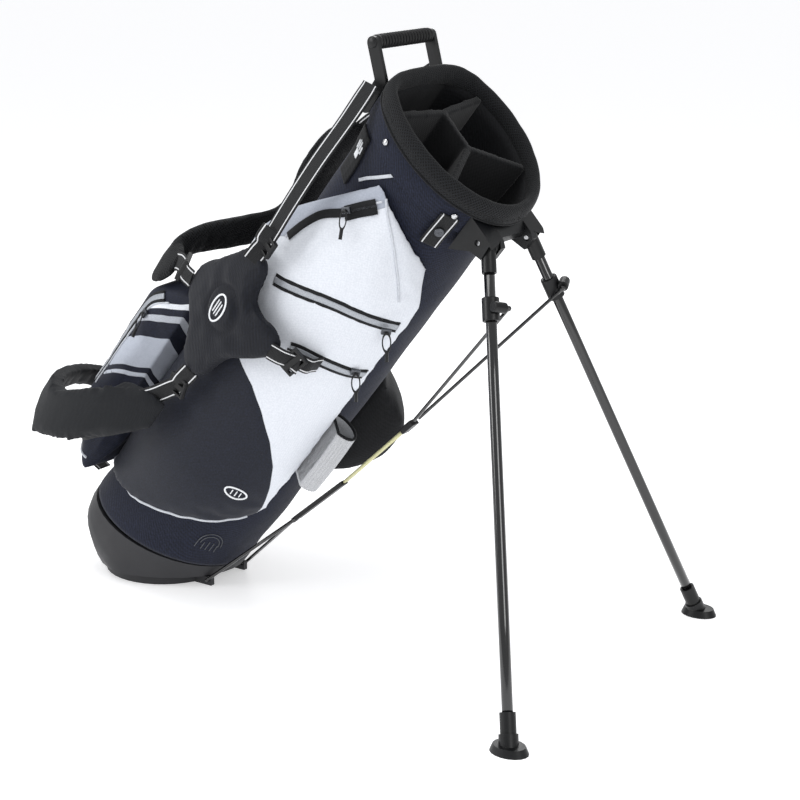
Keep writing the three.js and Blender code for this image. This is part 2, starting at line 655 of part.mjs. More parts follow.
const sleeveX = topRadiusX + 20;
const sleeveY = 11.6 - sleeveX * Math.tan(frontRad);
const sleeveLow = 312;
const sleeveHigh = 412;
const sleeveWall = 2;
function ovalPost(rx, ry, z0, z1) {
  const geometry = new THREE.CylinderGeometry(1, 1, z1 - z0, 24);
  geometry.rotateX(Math.PI / 2);
  geometry.scale(rx, ry, 1);
  geometry.translate(sleeveX, sleeveY, (z0 + z1) / 2);
  return solidOf(geometry);
}
const sleeveShape = ovalPost(25, 17.5, sleeveLow, sleeveHigh)
  .subtract(ovalPost(25 - sleeveWall, 17.5 - sleeveWall, sleeveLow + sleeveWall, sleeveHigh + 50));
const gussetRoom = planProfile([
  [0, clearance / Math.cos(frontRad)], [reach * Math.cos(frontRad), -reach * Math.sin(frontRad) + 1],
  [reach, -reach], [0, -reach],
], -100, 900);
addPiece(bag, 'drink_sleeve', sleeveShape.subtract(gussetRoom), greyMesh);

// ---- pieces that lie against a wall, placed by an angle from the leg side towards -Y ----
const wallPoint = (degrees, radius, z) => {
  const angle = THREE.MathUtils.degToRad(-degrees);
  return new THREE.Vector3(radius * Math.cos(angle), radius * Math.sin(angle), z);
};

// A frame whose Z faces away from the axis, with Y up the bag, turned about Z by the given tilt.
function wallFrame(point, tilt = 0) {
  const out = new THREE.Vector3(point.x, point.y, 0).normalize();
  const up = new THREE.Vector3(0, 0, 1).applyAxisAngle(out, THREE.MathUtils.degToRad(tilt));
  return new THREE.Matrix4().makeBasis(new THREE.Vector3().crossVectors(up, out), up, out).setPosition(point);
}

// A layer that follows the shell, seen from the side at the given angle and cut to a rectangle.
function shellLayer(inner, outer, degrees, width, z0, z1) {
  const ring = shellSolid(outer).subtract(shellSolid(inner));
  const window = boxAt(0, 0, 0, width, z1 - z0, 120);
  return ring.intersect(turned(window, wallFrame(wallPoint(degrees, 110, (z0 + z1) / 2))));
}

const labelGap = collarThickness + clearance;
const glovePatch = shellLayer(clearance, 3, 130, 34, mouthHeight - 112, mouthHeight - 42);
addPiece(bag, 'glove_patch', glovePatch, blackFabric);
const tabAngle = 46;
const tabTop = mouthHeight - 47;
const tabThickness = 2.4;
const snapHeight = tabTop - 21;
addPiece(bag, 'snap_tab', shellLayer(
  labelGap, labelGap + tabThickness, tabAngle, strapWidth, tabTop - 45, tabTop), webbing);
const snapOutline = shellOutline(labelGap + tabThickness + clearance);
const [snapX, snapY] = snapOutline(THREE.MathUtils.degToRad(-tabAngle), snapHeight);
const snapFrame = wallFrame(new THREE.Vector3(snapX, snapY, snapHeight));
const snap = rodBetween(new THREE.Vector3(0, 0, 0.3), new THREE.Vector3(0, 0, 3), 6, 14);
addPiece(bag, 'snap_button', turned(snap, snapFrame), steel);

const rivetHead = rodBetween(new THREE.Vector3(0, 0, 0), new THREE.Vector3(0, 0, 2), 4, 12);
const rivetAngles = { near_back: 106, near_front: 44, far_back: -106, far_front: -44 };
for (const [name, degrees] of Object.entries(rivetAngles)) {
  const angle = THREE.MathUtils.degToRad(-degrees);
  const z = mouthHeight - shellTop - collarHeight * 0.4 + mouthSlope * topRadiusX * Math.cos(angle);
  const [x, y] = shellOutline(labelGap + 0.3)(angle, z);
  addPiece(bag, `collar_rivet_${name}`, turned(rivetHead, wallFrame(new THREE.Vector3(x, y, z))), steel);
}

const loopX = footOffset - footRadiusX - 13;
const loopRing = [[loopX + 12, 40], [loopX + 12, 58], [loopX - 9, 56], [loopX - 9, 42]];
const loopHole = [[loopX + 9, 43], [loopX + 9, 55], [loopX - 7, 54], [loopX - 7, 44]];
const loopEdge = -54;
const baseLoop = sideProfile(loopRing, loopEdge, loopEdge + strapWidth)
  .subtract(sideProfile(loopHole, loopEdge - 6, 0))
  .subtract(aroundShell);
addPiece(bag, 'base_loop', baseLoop, webbing);

// ---- strap hub, its four buckles, and the pads and webbing that run from it ----
const hubAngle = 111;
const hubHeight = 462;
const hubInner = pocketRadius + 17;
const hubOuter = hubInner + 16;
const hubOutline = smoothOutline([
  [-16, 98], [20, 98], [38, 54], [84, 46], [88, 10], [50, -40], [30, -88], [-8, -92], [-40, -56], [-88, -46],
  [-94, -12], [-54, 44], [-16, 98],
], 48);
const hubFrame = wallFrame(wallPoint(hubAngle, 100, hubHeight));
const ringAround = (radius) => tubeSolid(
  (angle) => (angle === null ? [0, 0] : [radius * Math.cos(angle), radius * Math.sin(angle)]), [0, 900]);
const hubBlank = turned(planProfile(hubOutline, 0, 120), hubFrame);
addPiece(bag, 'hub_pad', ringAround(hubOuter).subtract(ringAround(hubInner)).intersect(hubBlank), navyFabric);

const buckleWidth = 32;
const buckleLength = 24;
const buckleThickness = 6;
const slotLength = 5;
const buckleShape = boxAt(0, 0, 0, buckleWidth, buckleLength, buckleThickness)
  .subtract(boxAt(0, 6, 0, strapWidth + 1, slotLength, 20))
  .subtract(boxAt(0, -6, 0, strapWidth + 1, slotLength, 20));
const buckles = {
  buckle_top: [hubAngle - 1, pocketRadius + 27, hubHeight + 118, 0],
  buckle_front: [hubAngle - 40, pocketRadius + 23, hubHeight + 28, 76],
  buckle_bottom: [hubAngle - 4, pocketRadius + 27, hubHeight - 124, 20],
  buckle_back: [hubAngle + 37, pocketRadius + 48, hubHeight - 40, 92],
};
for (const [name, [degrees, radius, z, tilt]] of Object.entries(buckles)) {
  addPiece(bag, name, turned(buckleShape, wallFrame(wallPoint(degrees, radius, z), tilt)), blackPlastic);
}

// Webbing as flat runs between points, its width lying along the given direction.
function webbingAlong(points, widthDirection, width = strapWidth, thickness = strapThickness) {
  const runs = points.slice(1).map((end, i) => {
    const start = points[i];
    const along = end.clone().sub(start).normalize();
    const across = widthDirection.clone().addScaledVector(along, -widthDirection.dot(along)).normalize();
    const through = new THREE.Vector3().crossVectors(along, across);
    const frame = new THREE.Matrix4().makeBasis(across, through, along);
    frame.setPosition(start.clone().add(end).multiplyScalar(0.5));
    return turned(boxAt(0, 0, 0, width, thickness, start.distanceTo(end) + thickness), frame);
  });
  return joined(...runs);
}

const point = (x, y, z) => new THREE.Vector3(x, y, z);
const nearWidth = point(0.95, -0.3, 0.1);
addPiece(bag, 'strap_top_near', webbingAlong([
  wallPoint(hubAngle - 0.56, pocketRadius + 26.8, hubHeight + 135),
  wallPoint(hubAngle + 2.47, pocketRadius + 20.7, hubHeight + 178), point(-76, -132, 690),
  point(-backFlat - 2, -106, mouthHeight - 40), point(-backFlat - 16, -78, mouthHeight - 4),
], nearWidth), webbing);
addPiece(bag, 'strap_top_far', webbingAlong([
  point(-backFlat - 52, 80, mouthHeight - 104), point(-backFlat - 45, 80, mouthHeight - 70),
  point(-backFlat - 34, 78, mouthHeight - 30), point(-backFlat - 22, 76, mouthHeight + 2),
], point(0.9, 0.3, 0.1)), webbing);
addPiece(bag, 'strap_side', webbingAlong([
  wallPoint(hubAngle - 46.6, pocketRadius + 18, hubHeight + 33),
  wallPoint(hubAngle - 48.5, pocketRadius + 12, hubHeight + 34.5),
  wallPoint(hubAngle - 50.5, pocketRadius + 6, hubHeight + 35),
], point(0, 0, 1)), webbing);

const padThickness = 17;
function bandOutline(centreline, thickness, divisions) {
  const curve = new THREE.SplineCurve(centreline.map(([u, v]) => new THREE.Vector2(u, v)));
  const left = [];
  const right = [];
  for (let i = 0; i <= divisions; i++) {
    const p = curve.getPoint(i / divisions);
    const t = curve.getTangent(i / divisions);
    const half = (thickness / 2) * Math.min(1, 0.45 + 2.2 * Math.sin((Math.PI * i) / divisions));
    left.push([p.x - t.y * half, p.y + t.x * half]);
    right.unshift([p.x + t.y * half, p.y - t.x * half]);
  }
  return [...left, ...right];
}
// A pad that follows points on the wall, each given by angle, radius and height, lying flat to the axis.
function padOnWall(points, halfWidth, thickness, divisions) {
  const curve = new THREE.CatmullRomCurve3(points.map((place) => wallPoint(...place)));
  const sides = 10;
  const vertices = [];
  const triangles = [];
  for (let i = 0; i <= divisions; i++) {
    const t = i / divisions;
    const centre = curve.getPoint(t);
    const along = curve.getTangent(t);
    const out = new THREE.Vector3(centre.x, centre.y, 0);
    out.addScaledVector(along, -out.dot(along)).normalize();
    const across = new THREE.Vector3().crossVectors(along, out);
    const taper = Math.min(1, 0.5 + 2.5 * Math.sin(Math.PI * t));
    for (let k = 0; k < sides; k++) {
      const angle = (2 * Math.PI * (k + 0.5)) / sides;
      const wide = taper * halfWidth * Math.sign(Math.cos(angle)) * Math.abs(Math.cos(angle)) ** 0.6;
      const deep = taper * (thickness / 2) * Math.sin(angle);
      const p = centre.clone().addScaledVector(across, wide).addScaledVector(out, deep);
      vertices.push(p.x, p.y, p.z);
    }
  }
  const ring = (i, k) => i * sides + (k % sides);
  for (let i = 0; i < divisions; i++) {
    for (let k = 0; k < sides; k++) {
      triangles.push(ring(i, k), ring(i, k + 1), ring(i + 1, k + 1));
      triangles.push(ring(i, k), ring(i + 1, k + 1), ring(i + 1, k));
    }
  }
  for (let k = 1; k < sides - 1; k++) {
    triangles.push(ring(0, 0), ring(0, k + 1), ring(0, k));
    triangles.push(ring(divisions, 0), ring(divisions, k), ring(divisions, k + 1));
  }
  const geometry = new THREE.BufferGeometry();
  geometry.setAttribute('position', new THREE.Float32BufferAttribute(vertices, 3));
  geometry.setIndex(triangles);
  return solidOf(geometry);
}

const upperPadHalf = 34;
addPiece(bag, 'upper_shoulder_pad', padOnWall([
  [hubAngle + 42, pocketRadius + 54, hubHeight - 58], [hubAngle + 53, pocketRadius + 73, hubHeight - 84],
  [hubAngle + 67, pocketRadius + 73, hubHeight - 68], [hubAngle + 82, pocketRadius + 57, hubHeight - 42],
  [hubAngle + 95, pocketRadius + 37, hubHeight], [hubAngle + 98, pocketRadius + 37, hubHeight + 46],
  [hubAngle + 96, pocketRadius + 41, hubHeight + 90], [hubAngle + 96, pocketRadius + 38, hubHeight + 140],
  [hubAngle + 98, pocketRadius + 24, hubHeight + 185],
], upperPadHalf, padThickness, 22), blackFabric);

// The lower pad goes round the ball pocket. It is cut wide, and hangs lower towards the spine.
const lowerBand = bandOutline([
  [-45, -pocketRadius - 23], [-132, -pocketRadius - 21], [-190, -pocketRadius + 1], [-236, -98],
  [-254, -40], [-250, 16], [-228, 58],
], padThickness, 14);
const lowerPadMiddle = (x, y) => (
  Math.min(284, 176 + 1.15 * (Math.max(x, -203) + 151)) - 0.25 * Math.max(0, y + 98));
const lowerPadHalf = (x) => Math.min(
  42 + 0.32 * Math.max(0, x + 188), 22 + 0.8 * Math.max(0, -45 - x), 14 + 0.55 * Math.max(0, x + 252));
const lowerGeometry = new THREE.ExtrudeGeometry(
  shapeOf(lowerBand), { depth: 2, bevelEnabled: false });
const lowerPoints = lowerGeometry.attributes.position;
for (let i = 0; i < lowerPoints.count; i++) {
  const [x, y] = [lowerPoints.getX(i), lowerPoints.getY(i)];
  lowerPoints.setZ(i, lowerPadMiddle(x, y) + (lowerPoints.getZ(i) - 1) * lowerPadHalf(x));
}
addPiece(bag, 'lower_shoulder_pad', solidOf(lowerGeometry), navyFabric);

// ---- zip sliders, and the cord pull that hangs from each ----
const down = new THREE.Vector3(0, 0, -1).transformDirection(toBag);
const sliderGap = 0.8;
const sliderThickness = 4;
const zips = {
  collar_zip: { seat: point(-12, sideOutline(-Math.PI / 2, 660)[1] - 2.1, 672), lean: 0.24, tilt: -42 },
  chest_zip: { seat: wallPoint(44, pocketRadius + sliderGap + 1.4, 581), lean: 0.1, tilt: -72 },
  side_zip: { seat: wallPoint(44, pocketRadius + sliderGap, 508), lean: 0.1, tilt: -72 },
  ball_zip: { seat: point(-176, -97.5, 322), lean: 0.42, tilt: 0, out: [-0.47, -0.88] },
};
const pullRing = new THREE.TorusGeometry(1, 0.16, 6, 18);
pullRing.scale(5, 11, 5);
pullRing.translate(0, -11, 0);
const pullTip = rodBetween(point(0, -20.5, 0), point(0, -pullLength, 0), 2.2, 8);
const pullShape = solidOf(pullRing).add(pullTip);
for (const [name, { seat, lean: outLean, tilt, out }] of Object.entries(zips)) {
  const facing = out ? point(out[0], out[1], 0).normalize() : point(seat.x, seat.y, 0).normalize();
  const up = point(0, 0, 1).applyAxisAngle(facing, THREE.MathUtils.degToRad(tilt));
  const along = new THREE.Vector3().crossVectors(up, facing);
  const frame = new THREE.Matrix4().makeBasis(along, up, facing).setPosition(seat);
  const body = boxAt(0, 0, sliderThickness / 2, 8, 12, sliderThickness);
  addPiece(bag, `${name}_slider`, turned(body, frame), steel);
  const hang = down.clone().addScaledVector(facing, outLean).normalize();
  const normal = facing.clone().addScaledVector(hang, -facing.dot(hang)).normalize();
  const rise = hang.clone().negate();
  const pullSide = new THREE.Vector3().crossVectors(rise, normal);
  const pullFrame = new THREE.Matrix4().makeBasis(pullSide, rise, normal);
  pullFrame.setPosition(seat.clone().addScaledVector(facing, sliderThickness + 1.6));
  addPiece(bag, `${name}_pull`, turned(pullShape, pullFrame), blackPlastic);
}

export default model;
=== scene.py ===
"""A golf stand bag: the looks of its fabric, webbing, zips, pads, mouldings and legs."""

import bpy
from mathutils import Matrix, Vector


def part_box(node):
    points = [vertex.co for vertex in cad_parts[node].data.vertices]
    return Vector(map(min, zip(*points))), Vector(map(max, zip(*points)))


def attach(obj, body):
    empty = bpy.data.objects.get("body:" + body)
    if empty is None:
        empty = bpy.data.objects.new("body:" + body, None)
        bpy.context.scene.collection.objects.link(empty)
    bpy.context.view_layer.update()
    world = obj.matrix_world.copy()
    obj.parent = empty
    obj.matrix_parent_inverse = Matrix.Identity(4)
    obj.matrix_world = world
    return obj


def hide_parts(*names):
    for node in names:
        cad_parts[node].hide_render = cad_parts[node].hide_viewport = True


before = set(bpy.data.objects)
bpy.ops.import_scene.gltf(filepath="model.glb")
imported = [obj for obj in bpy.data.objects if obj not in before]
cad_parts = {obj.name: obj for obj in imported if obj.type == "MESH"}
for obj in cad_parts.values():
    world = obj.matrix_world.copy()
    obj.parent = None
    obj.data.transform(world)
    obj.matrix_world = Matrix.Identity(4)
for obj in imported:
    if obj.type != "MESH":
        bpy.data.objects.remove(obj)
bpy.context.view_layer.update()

import math

import bmesh
import bpy
import numpy as np
from mathutils import Matrix, Vector, noise
from mathutils.bvhtree import BVHTree

# ---- Studio: a pale floor, a pale world, three soft lamps and the camera ----
# The bag stands alone on a seamless pale floor. A large lamp overhead and one on each side keep
# the dark fabric readable and lay a soft shadow under the base and the feet.
floor_data = bpy.data.meshes.new("studio_floor")
floor_half = 40.0
floor_corners = [(x * floor_half, y * floor_half, 0) for x, y in ((-1, -1), (1, -1), (1, 1), (-1, 1))]
floor_data.from_pydata(floor_corners, [], [(0, 1, 2, 3)])
floor = bpy.data.objects.new("studio_floor", floor_data)
bpy.context.scene.collection.objects.link(floor)


def linear(hex_colour):
    """An sRGB hex value as a linear colour with full alpha."""
    channels = [((hex_colour >> shift) & 255) / 255 for shift in (16, 8, 0)]
    return tuple(c / 12.92 if c <= 0.04045 else ((c + 0.055) / 1.055) ** 2.4 for c in channels) + (1.0,)


def add_node(tree, kind, settings=None, links=None):
    """A node with its settings, and its inputs set to a value or linked from another node's output."""
    made = tree.nodes.new(kind)
    for key, value in (settings or {}).items():
        setattr(made, key, value)
    for key, value in (links or {}).items():
        socket = made.inputs[key]
        if isinstance(value, bpy.types.NodeSocket):
            tree.links.new(value, socket)
        else:
            socket.default_value = value
    return made


def new_material(name, colour, roughness, **sockets):
    """A Principled material and its tree, with plain values set on the shader's own sockets."""
    material = bpy.data.materials.new(name)
    material.use_nodes = True
    shader = material.node_tree.nodes["Principled BSDF"]
    shader.inputs["Base Color"].default_value = linear(colour)
    shader.inputs["Roughness"].default_value = roughness
    for key, value in sockets.items():
        shader.inputs[key.replace("_", " ")].default_value = value
    return material, material.node_tree, shader


floor_material, _, _ = new_material(
    "pale_floor_paint", 0xf4f4f5, 0.7, Emission_Color=(1.0, 1.0, 1.0, 1.0), Emission_Strength=0.42)
floor_data.materials.append(floor_material)

world = bpy.data.worlds.new("studio_world")
world.use_nodes = True
world.node_tree.nodes["Background"].inputs["Color"].default_value = (0.97, 0.98, 1.0, 1.0)
world.node_tree.nodes["Background"].inputs["Strength"].default_value = 0.62
bpy.context.scene.world = world
bpy.context.scene.view_settings.view_transform = "Standard"

for lamp_name, place, size, power in (
    ("lamp_top", (-0.3, -0.6, 2.6), 1.6, 26), ("lamp_near", (-1.6, -2.2, 1.5), 1.2, 26),
    ("lamp_front", (2.6, -1.2, 1.5), 1.0, 16), ("lamp_back", (-0.6, 2.2, 1.6), 1.0, 14),
):
    lamp_data = bpy.data.lights.new(lamp_name, "AREA")
    lamp_data.size = size
    lamp_data.energy = power
    lamp = bpy.data.objects.new(lamp_name, lamp_data)
    lamp.location = place
    lamp.rotation_euler = (Vector((0.3, 0, 0.3)) - Vector(place)).to_track_quat("-Z", "Y").to_euler()
    bpy.context.scene.collection.objects.link(lamp)

aim = Vector((0.392, 0.0, 0.30))
azimuth, elevation, camera_distance = math.radians(34), math.radians(16), 2.4
toward_camera = Vector((
    math.sin(azimuth) * math.cos(elevation), -math.cos(azimuth) * math.cos(elevation), math.sin(elevation)))
camera_data = bpy.data.cameras.new("camera")
camera_data.lens = 85.9
camera_data.sensor_width = 36
camera = bpy.data.objects.new("camera", camera_data)
camera.location = aim + camera_distance * toward_camera
camera.rotation_euler = (-toward_camera).to_track_quat("-Z", "Y").to_euler()
bpy.context.scene.collection.objects.link(camera)
bpy.context.scene.camera = camera

# ---- Shell: the tube of the bag ----
# One sleeve of navy woven polyester over three stays, lined in black. It is pulled tight by the cup
# and the collar, so it only ripples a little between them.
lean = math.radians(38)
from_bag = Matrix.Translation((0, 0, 0.025)) @ Matrix.Rotation(lean, 4, "Y")
to_bag = from_bag.inverted()
mouth_height, mouth_slope = 0.780, -0.185
shell_wall = 0.003


def in_row(points):
    """Points in the bag's own frame, up its axis, as points in the row frame."""
    points = np.asarray(points, float).reshape(-1, 3)
    turn = np.array(from_bag.to_3x3())
    return points @ turn.T + np.array(from_bag.translation)


def in_bag(points):
    points = np.asarray(points, float).reshape(-1, 3)
    turn = np.array(to_bag.to_3x3())
    return points @ turn.T + np.array(to_bag.translation)


def bag_points(piece):
    return in_bag([v.co[:] for v in piece.data.vertices])


def reshape(piece, points):
    """Moves the piece's points to new places in the bag's frame."""
    for v, point in zip(piece.data.vertices, in_row(points)):
        v.co = point


def set_layout(mesh, flat):
    """A layout with one place for each point of the mesh."""
    layer = mesh.uv_layers.new(name="lay")
    layer.data.foreach_set("uv", np.asarray(flat, float)[[loop.vertex_index for loop in mesh.loops]].ravel())


def ease(low, high, value):
    t = np.clip((np.asarray(value, float) - low) / (high - low), 0, 1)
    return t * t * (3 - 2 * t)


def shell_radius_point(angle, z, offset=0.0):
    """The shell's outside at an angle from the leg side, turning towards +Y, and a height up the axis."""
    t = ease(0.020, 0.260, z)
    spread = offset + 0.006 * ease(0.690, 0.745, z)
    radius_x = 0.114 + (0.101 - 0.114) * t + spread
    radius_y = 0.105 + (0.098 - 0.105) * t + spread
    x = -0.017 * (1 - t) + radius_x * np.cos(angle)
    back = 0.114 + (0.084 - 0.114) * ease(0.640, 0.725, z) + offset
    x = np.where(np.asarray(z) > 0.640, np.maximum(x, -back), x)
    return x, radius_y * np.sin(angle)


def grid_faces(rows, columns, wrap=True):
    """Quads of a grid whose columns run round, and close on themselves if wrap is set."""
    faces = []
    last = columns if wrap else columns - 1
    for i in range(rows - 1):
        for j in range(last):
            k = (j + 1) % columns
            faces.append((i * columns + j, i * columns + k, (i + 1) * columns + k, (i + 1) * columns + j))
    return faces


def make_piece(name, points, faces, material, body="bag", replaces=(), uv=None, local=True):
    """A mesh object from points in the bag's frame, or if not local in the row frame, riding on a body."""
    data = bpy.data.meshes.new(name)
    data.from_pydata([tuple(p) for p in (in_row(points) if local else points)], [], faces)
    if uv is not None:
        set_layout(data, uv)
    work = bmesh.new()
    work.from_mesh(data)
    bmesh.ops.recalc_face_normals(work, faces=work.faces)
    work.to_mesh(data)
    work.free()
    data.shade_smooth()
    data.materials.append(material)
    piece = bpy.data.objects.new(name, data)
    bpy.context.scene.collection.objects.link(piece)
    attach(piece, body)
    if replaces:
        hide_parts(*replaces)
    return piece


def arithmetic(tree, operation, *values):
    """One maths node over plain numbers or other nodes' outputs."""
    return add_node(tree, "ShaderNodeMath", {"operation": operation}, dict(enumerate(values))).outputs[0]


def noise_field(tree, place, scale, detail=2.0, roughness=0.5):
    """Noise over the piece's own space, with about so many lumps to the metre."""
    noise_node = add_node(tree, "ShaderNodeTexNoise", None, {
        "Vector": place.outputs["Object"], "Scale": scale, "Detail": detail, "Roughness": roughness})
    return noise_node.outputs["Fac"]


def to_range(tree, value, low, high, new_low=0.0, new_high=1.0, kind="LINEAR"):
    return add_node(tree, "ShaderNodeMapRange", {"interpolation_type": kind}, {
        "Value": value, "From Min": low, "From Max": high, "To Min": new_low, "To Max": new_high}).outputs[0]


def blend_colours(tree, share, first, second):
    """Goes from one colour to another, each an sRGB hex value or another node's output."""
    pair = [linear(colour) if isinstance(colour, int) else colour for colour in (first, second)]
    return add_node(tree, "ShaderNodeMix", {"data_type": "RGBA"}, {0: share, 6: pair[0], 7: pair[1]}).outputs[2]


def relief(tree, strength, depth, height, normal=None):
    """A bump of a height field, over another bump if one is given."""
    links = {"Strength": strength, "Distance": depth, "Height": height}
    if normal:
        links["Normal"] = normal
    return add_node(tree, "ShaderNodeBump", None, links).outputs[0]


def drive(tree, shader, **outputs):
    for key, output in outputs.items():
        tree.links.new(output, shader.inputs[key.replace("_", " ")])


def weave_bump(tree, coordinate, pitch_mm, strength, depth_mm, normal=None):
    """Crossed threads: two sets of sine bands at the thread pitch, as a bump and as its height."""
    per_metre = 1000 / pitch_mm * math.pi
    scaled = add_node(tree, "ShaderNodeVectorMath", {"operation": "SCALE"}, {0: coordinate, "Scale": per_metre})
    parts = add_node(tree, "ShaderNodeSeparateXYZ", None, {0: scaled.outputs[0]})
    warp, weft = (arithmetic(tree, "SINE", parts.outputs[axis]) for axis in ("X", "Y"))
    weave = arithmetic(tree, "MULTIPLY", warp, weft)
    return relief(tree, strength, depth_mm / 1000, weave, normal), weave


def cloth_material(name, colour, light_colour, pitch_mm=1.6, roughness=0.78, sheen=0.06):
    """Woven polyester: threads too fine to see are drawn at the given pitch, with a faint heathered tone,
    slow creases and a soft sheen at grazing angles."""
    material, tree, shader = new_material(
        name, colour, roughness, Sheen_Weight=sheen, Sheen_Roughness=0.5, Specular_IOR_Level=0.22)
    place = add_node(tree, "ShaderNodeTexCoord")
    crease = relief(tree, 0.35, 0.002, noise_field(tree, place, 22.0, 5.0, 0.6))
    bump, weave = weave_bump(tree, place.outputs["Object"], pitch_mm, 0.35, 0.25, crease)
    level = arithmetic(tree, "MULTIPLY_ADD", weave, 0.22, noise_field(tree, place, 420.0))
    tone = to_range(tree, level, 0.25, 0.85)
    drive(tree, shader, Base_Color=blend_colours(tree, tone, colour, light_colour), Normal=bump)
    return material


navy_cloth = cloth_material("navy_woven_polyester", 0x0d101b, 0x1f2437)
black_cloth = cloth_material("black_woven_polyester", 0x070809, 0x15161a)

shell_rows, shell_columns = 150, 128
shell_points, shell_uv = [], []
for layer, offset in ((0, 0.0), (1, -0.0018)):
    for i in range(shell_rows):
        for j in range(shell_columns):
            angle = 2 * math.pi * j / shell_columns
            x0, _ = shell_radius_point(angle, 0.3)
            top = mouth_height - 0.015 + mouth_slope * float(x0) - 0.0005
            bottom = 0.0506 + 0.3 * float(x0)
            z = bottom + (top - bottom) * i / (shell_rows - 1)
            ripple = 0.0
            if layer == 0:
                calm = float(ease(0, 0.05, z - bottom) * ease(0, 0.09, top - z))
                place = Vector((math.cos(angle) * 2.2, math.sin(angle) * 2.2, z * 14))
                ripple = calm * (0.0022 * noise.noise(place) - 0.0012)
            x, y = shell_radius_point(angle, z, offset + ripple)
            shell_points.append((float(x), float(y), z))
            shell_uv.append((angle * 0.1, z))
ring = shell_rows * shell_columns
shell_faces = grid_faces(shell_rows, shell_columns)
shell_faces += [tuple(ring + v for v in reversed(face)) for face in grid_faces(shell_rows, shell_columns)]
for row, flip in ((0, False), (shell_rows - 1, True)):
    for j in range(shell_columns):
        k = (j + 1) % shell_columns
        first, second = row * shell_columns + j, row * shell_columns + k
        quad = (first, ring + first, ring + second, second)
        shell_faces.append(tuple(reversed(quad)) if flip else quad)
shell = make_piece("shell_fabric", shell_points, shell_faces, navy_cloth,
                   replaces=("bag_shell",), uv=shell_uv)

lining_points, lining_uv = [], []
for offset in (-0.0020, -shell_wall):
    for i in range(shell_rows):
        for j in range(shell_columns):
            outer = shell_points[i * shell_columns + j]
            angle = 2 * math.pi * j / shell_columns
            fold = 0.0010 * noise.noise(Vector((math.cos(angle) * 3, math.sin(angle) * 3, outer[2] * 9)))
            x, y = shell_radius_point(angle, outer[2], offset - (abs(fold) if offset < -0.002 else 0))
            tuck = 0.010 if i == shell_rows - 1 else 0.0
            lining_points.append((float(x), float(y), outer[2] + tuck))
            lining_uv.append((angle * 0.1, outer[2]))
make_piece("shell_lining", lining_points, shell_faces, black_cloth, uv=lining_uv)

# ---- Base cup and foot plate: moulded, with a fine texture ----
# Thick moulded nylon, dark grey, spark-eroded to a fine grain so that it is matt, with its sharp edges
# paler in patches.


def moulded_material(name, colour, pale_edge_colour, roughness, grain_mm=0.9, strength=0.25, **sockets):
    """Moulded plastic: a spark-eroded grain as bump, a slow gloss variation, and sharp edges paler in patches.
    """
    material, tree, shader = new_material(name, colour, roughness, **sockets)
    place = add_node(tree, "ShaderNodeTexCoord")
    cloud = noise_field(tree, place, 18.0, 4.0)
    # Sharp edges, found by pointiness, are made paler in patches of the cloud noise, on every moulded part.
    edge = to_range(tree, add_node(tree, "ShaderNodeNewGeometry").outputs["Pointiness"], 0.52, 0.62)
    pale_edge_share = arithmetic(tree, "MULTIPLY", edge, cloud)
    drive(tree, shader, Base_Color=blend_colours(tree, pale_edge_share, colour, pale_edge_colour),
          Roughness=to_range(tree, cloud, 0.3, 0.7, roughness - 0.07, roughness + 0.08),
          Normal=relief(tree, strength, 0.0003, noise_field(tree, place, 1000 / grain_mm)))
    return material


def finish_node(name, material, bevel_mm=0.0):
    """Gives a moulded CAD part its finish, with its sharp edges rounded as a mould leaves them."""
    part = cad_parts[name]
    part.data.materials.clear()
    part.data.materials.append(material)
    weld = part.modifiers.new("weld", "WELD")
    weld.merge_threshold = 0.00002
    if bevel_mm:
        flat = part.modifiers.new("flat", "DECIMATE")
        flat.decimate_type = "DISSOLVE"
        flat.angle_limit = math.radians(0.6)
        bevel = part.modifiers.new("bevel", "BEVEL")
        bevel.width = bevel_mm / 1000
        bevel.segments = 2
        bevel.limit_method = "ANGLE"
        bevel.angle_limit = math.radians(35)
        bevel.use_clamp_overlap = True
    part.data.shade_smooth()
    sharp = part.modifiers.new("normals", "WEIGHTED_NORMAL")
    sharp.keep_sharp = True


base_plastic = moulded_material(
    "base_moulded_nylon", 0x242427, 0x3a3b3e, 0.55, 1.1, 0.35, Specular_IOR_Level=0.4)
black_plastic = moulded_material(
    "black_moulded_nylon", 0x08090a, 0x17181b, 0.38, 0.8, 0.15, Specular_IOR_Level=0.35)
finish_node("base_cup", base_plastic, 1.2)
finish_node("foot_plate", base_plastic, 1.0)
finish_node("top_collar", navy_cloth, 0.8)
finish_node("leg_housing", black_plastic, 1.2)
finish_node("handle_frame", black_plastic, 1.2)
for name in (
    "leg_hub_near", "leg_hub_far", "leg_collar_near", "leg_collar_far", "leg_foot_near", "leg_foot_far",
    "rod_sleeve", "rod_junction", "buckle_top", "buckle_front", "buckle_bottom", "buckle_back",
):
    finish_node(name, black_plastic, 0.9)
for name in ("spine_stay", "near_stay", "far_stay"):
    finish_node(name, black_plastic)

# ---- Bright fittings and legs ----
# Nickel-plated rivets, snap, pins and sliders; the legs are drawn aluminium tube in gloss black enamel;
# the rods between are spring wire, enamelled, and pultruded glass fibre, pale and slightly streaky.


def metal_material(name, colour, roughness):
    material, tree, shader = new_material(name, colour, roughness, Metallic=1.0)
    fine = noise_field(tree, add_node(tree, "ShaderNodeTexCoord"), 240.0, 6.0)
    drive(tree, shader, Roughness=to_range(tree, fine, 0.3, 0.7, roughness - 0.08, roughness + 0.12),
          Normal=relief(tree, 0.08, 0.0002, fine))
    return material


nickel = metal_material("nickel_plated_steel", 0xc9cacc, 0.24)
dark_nickel = metal_material("dark_nickel_zinc", 0x5a5c60, 0.32)

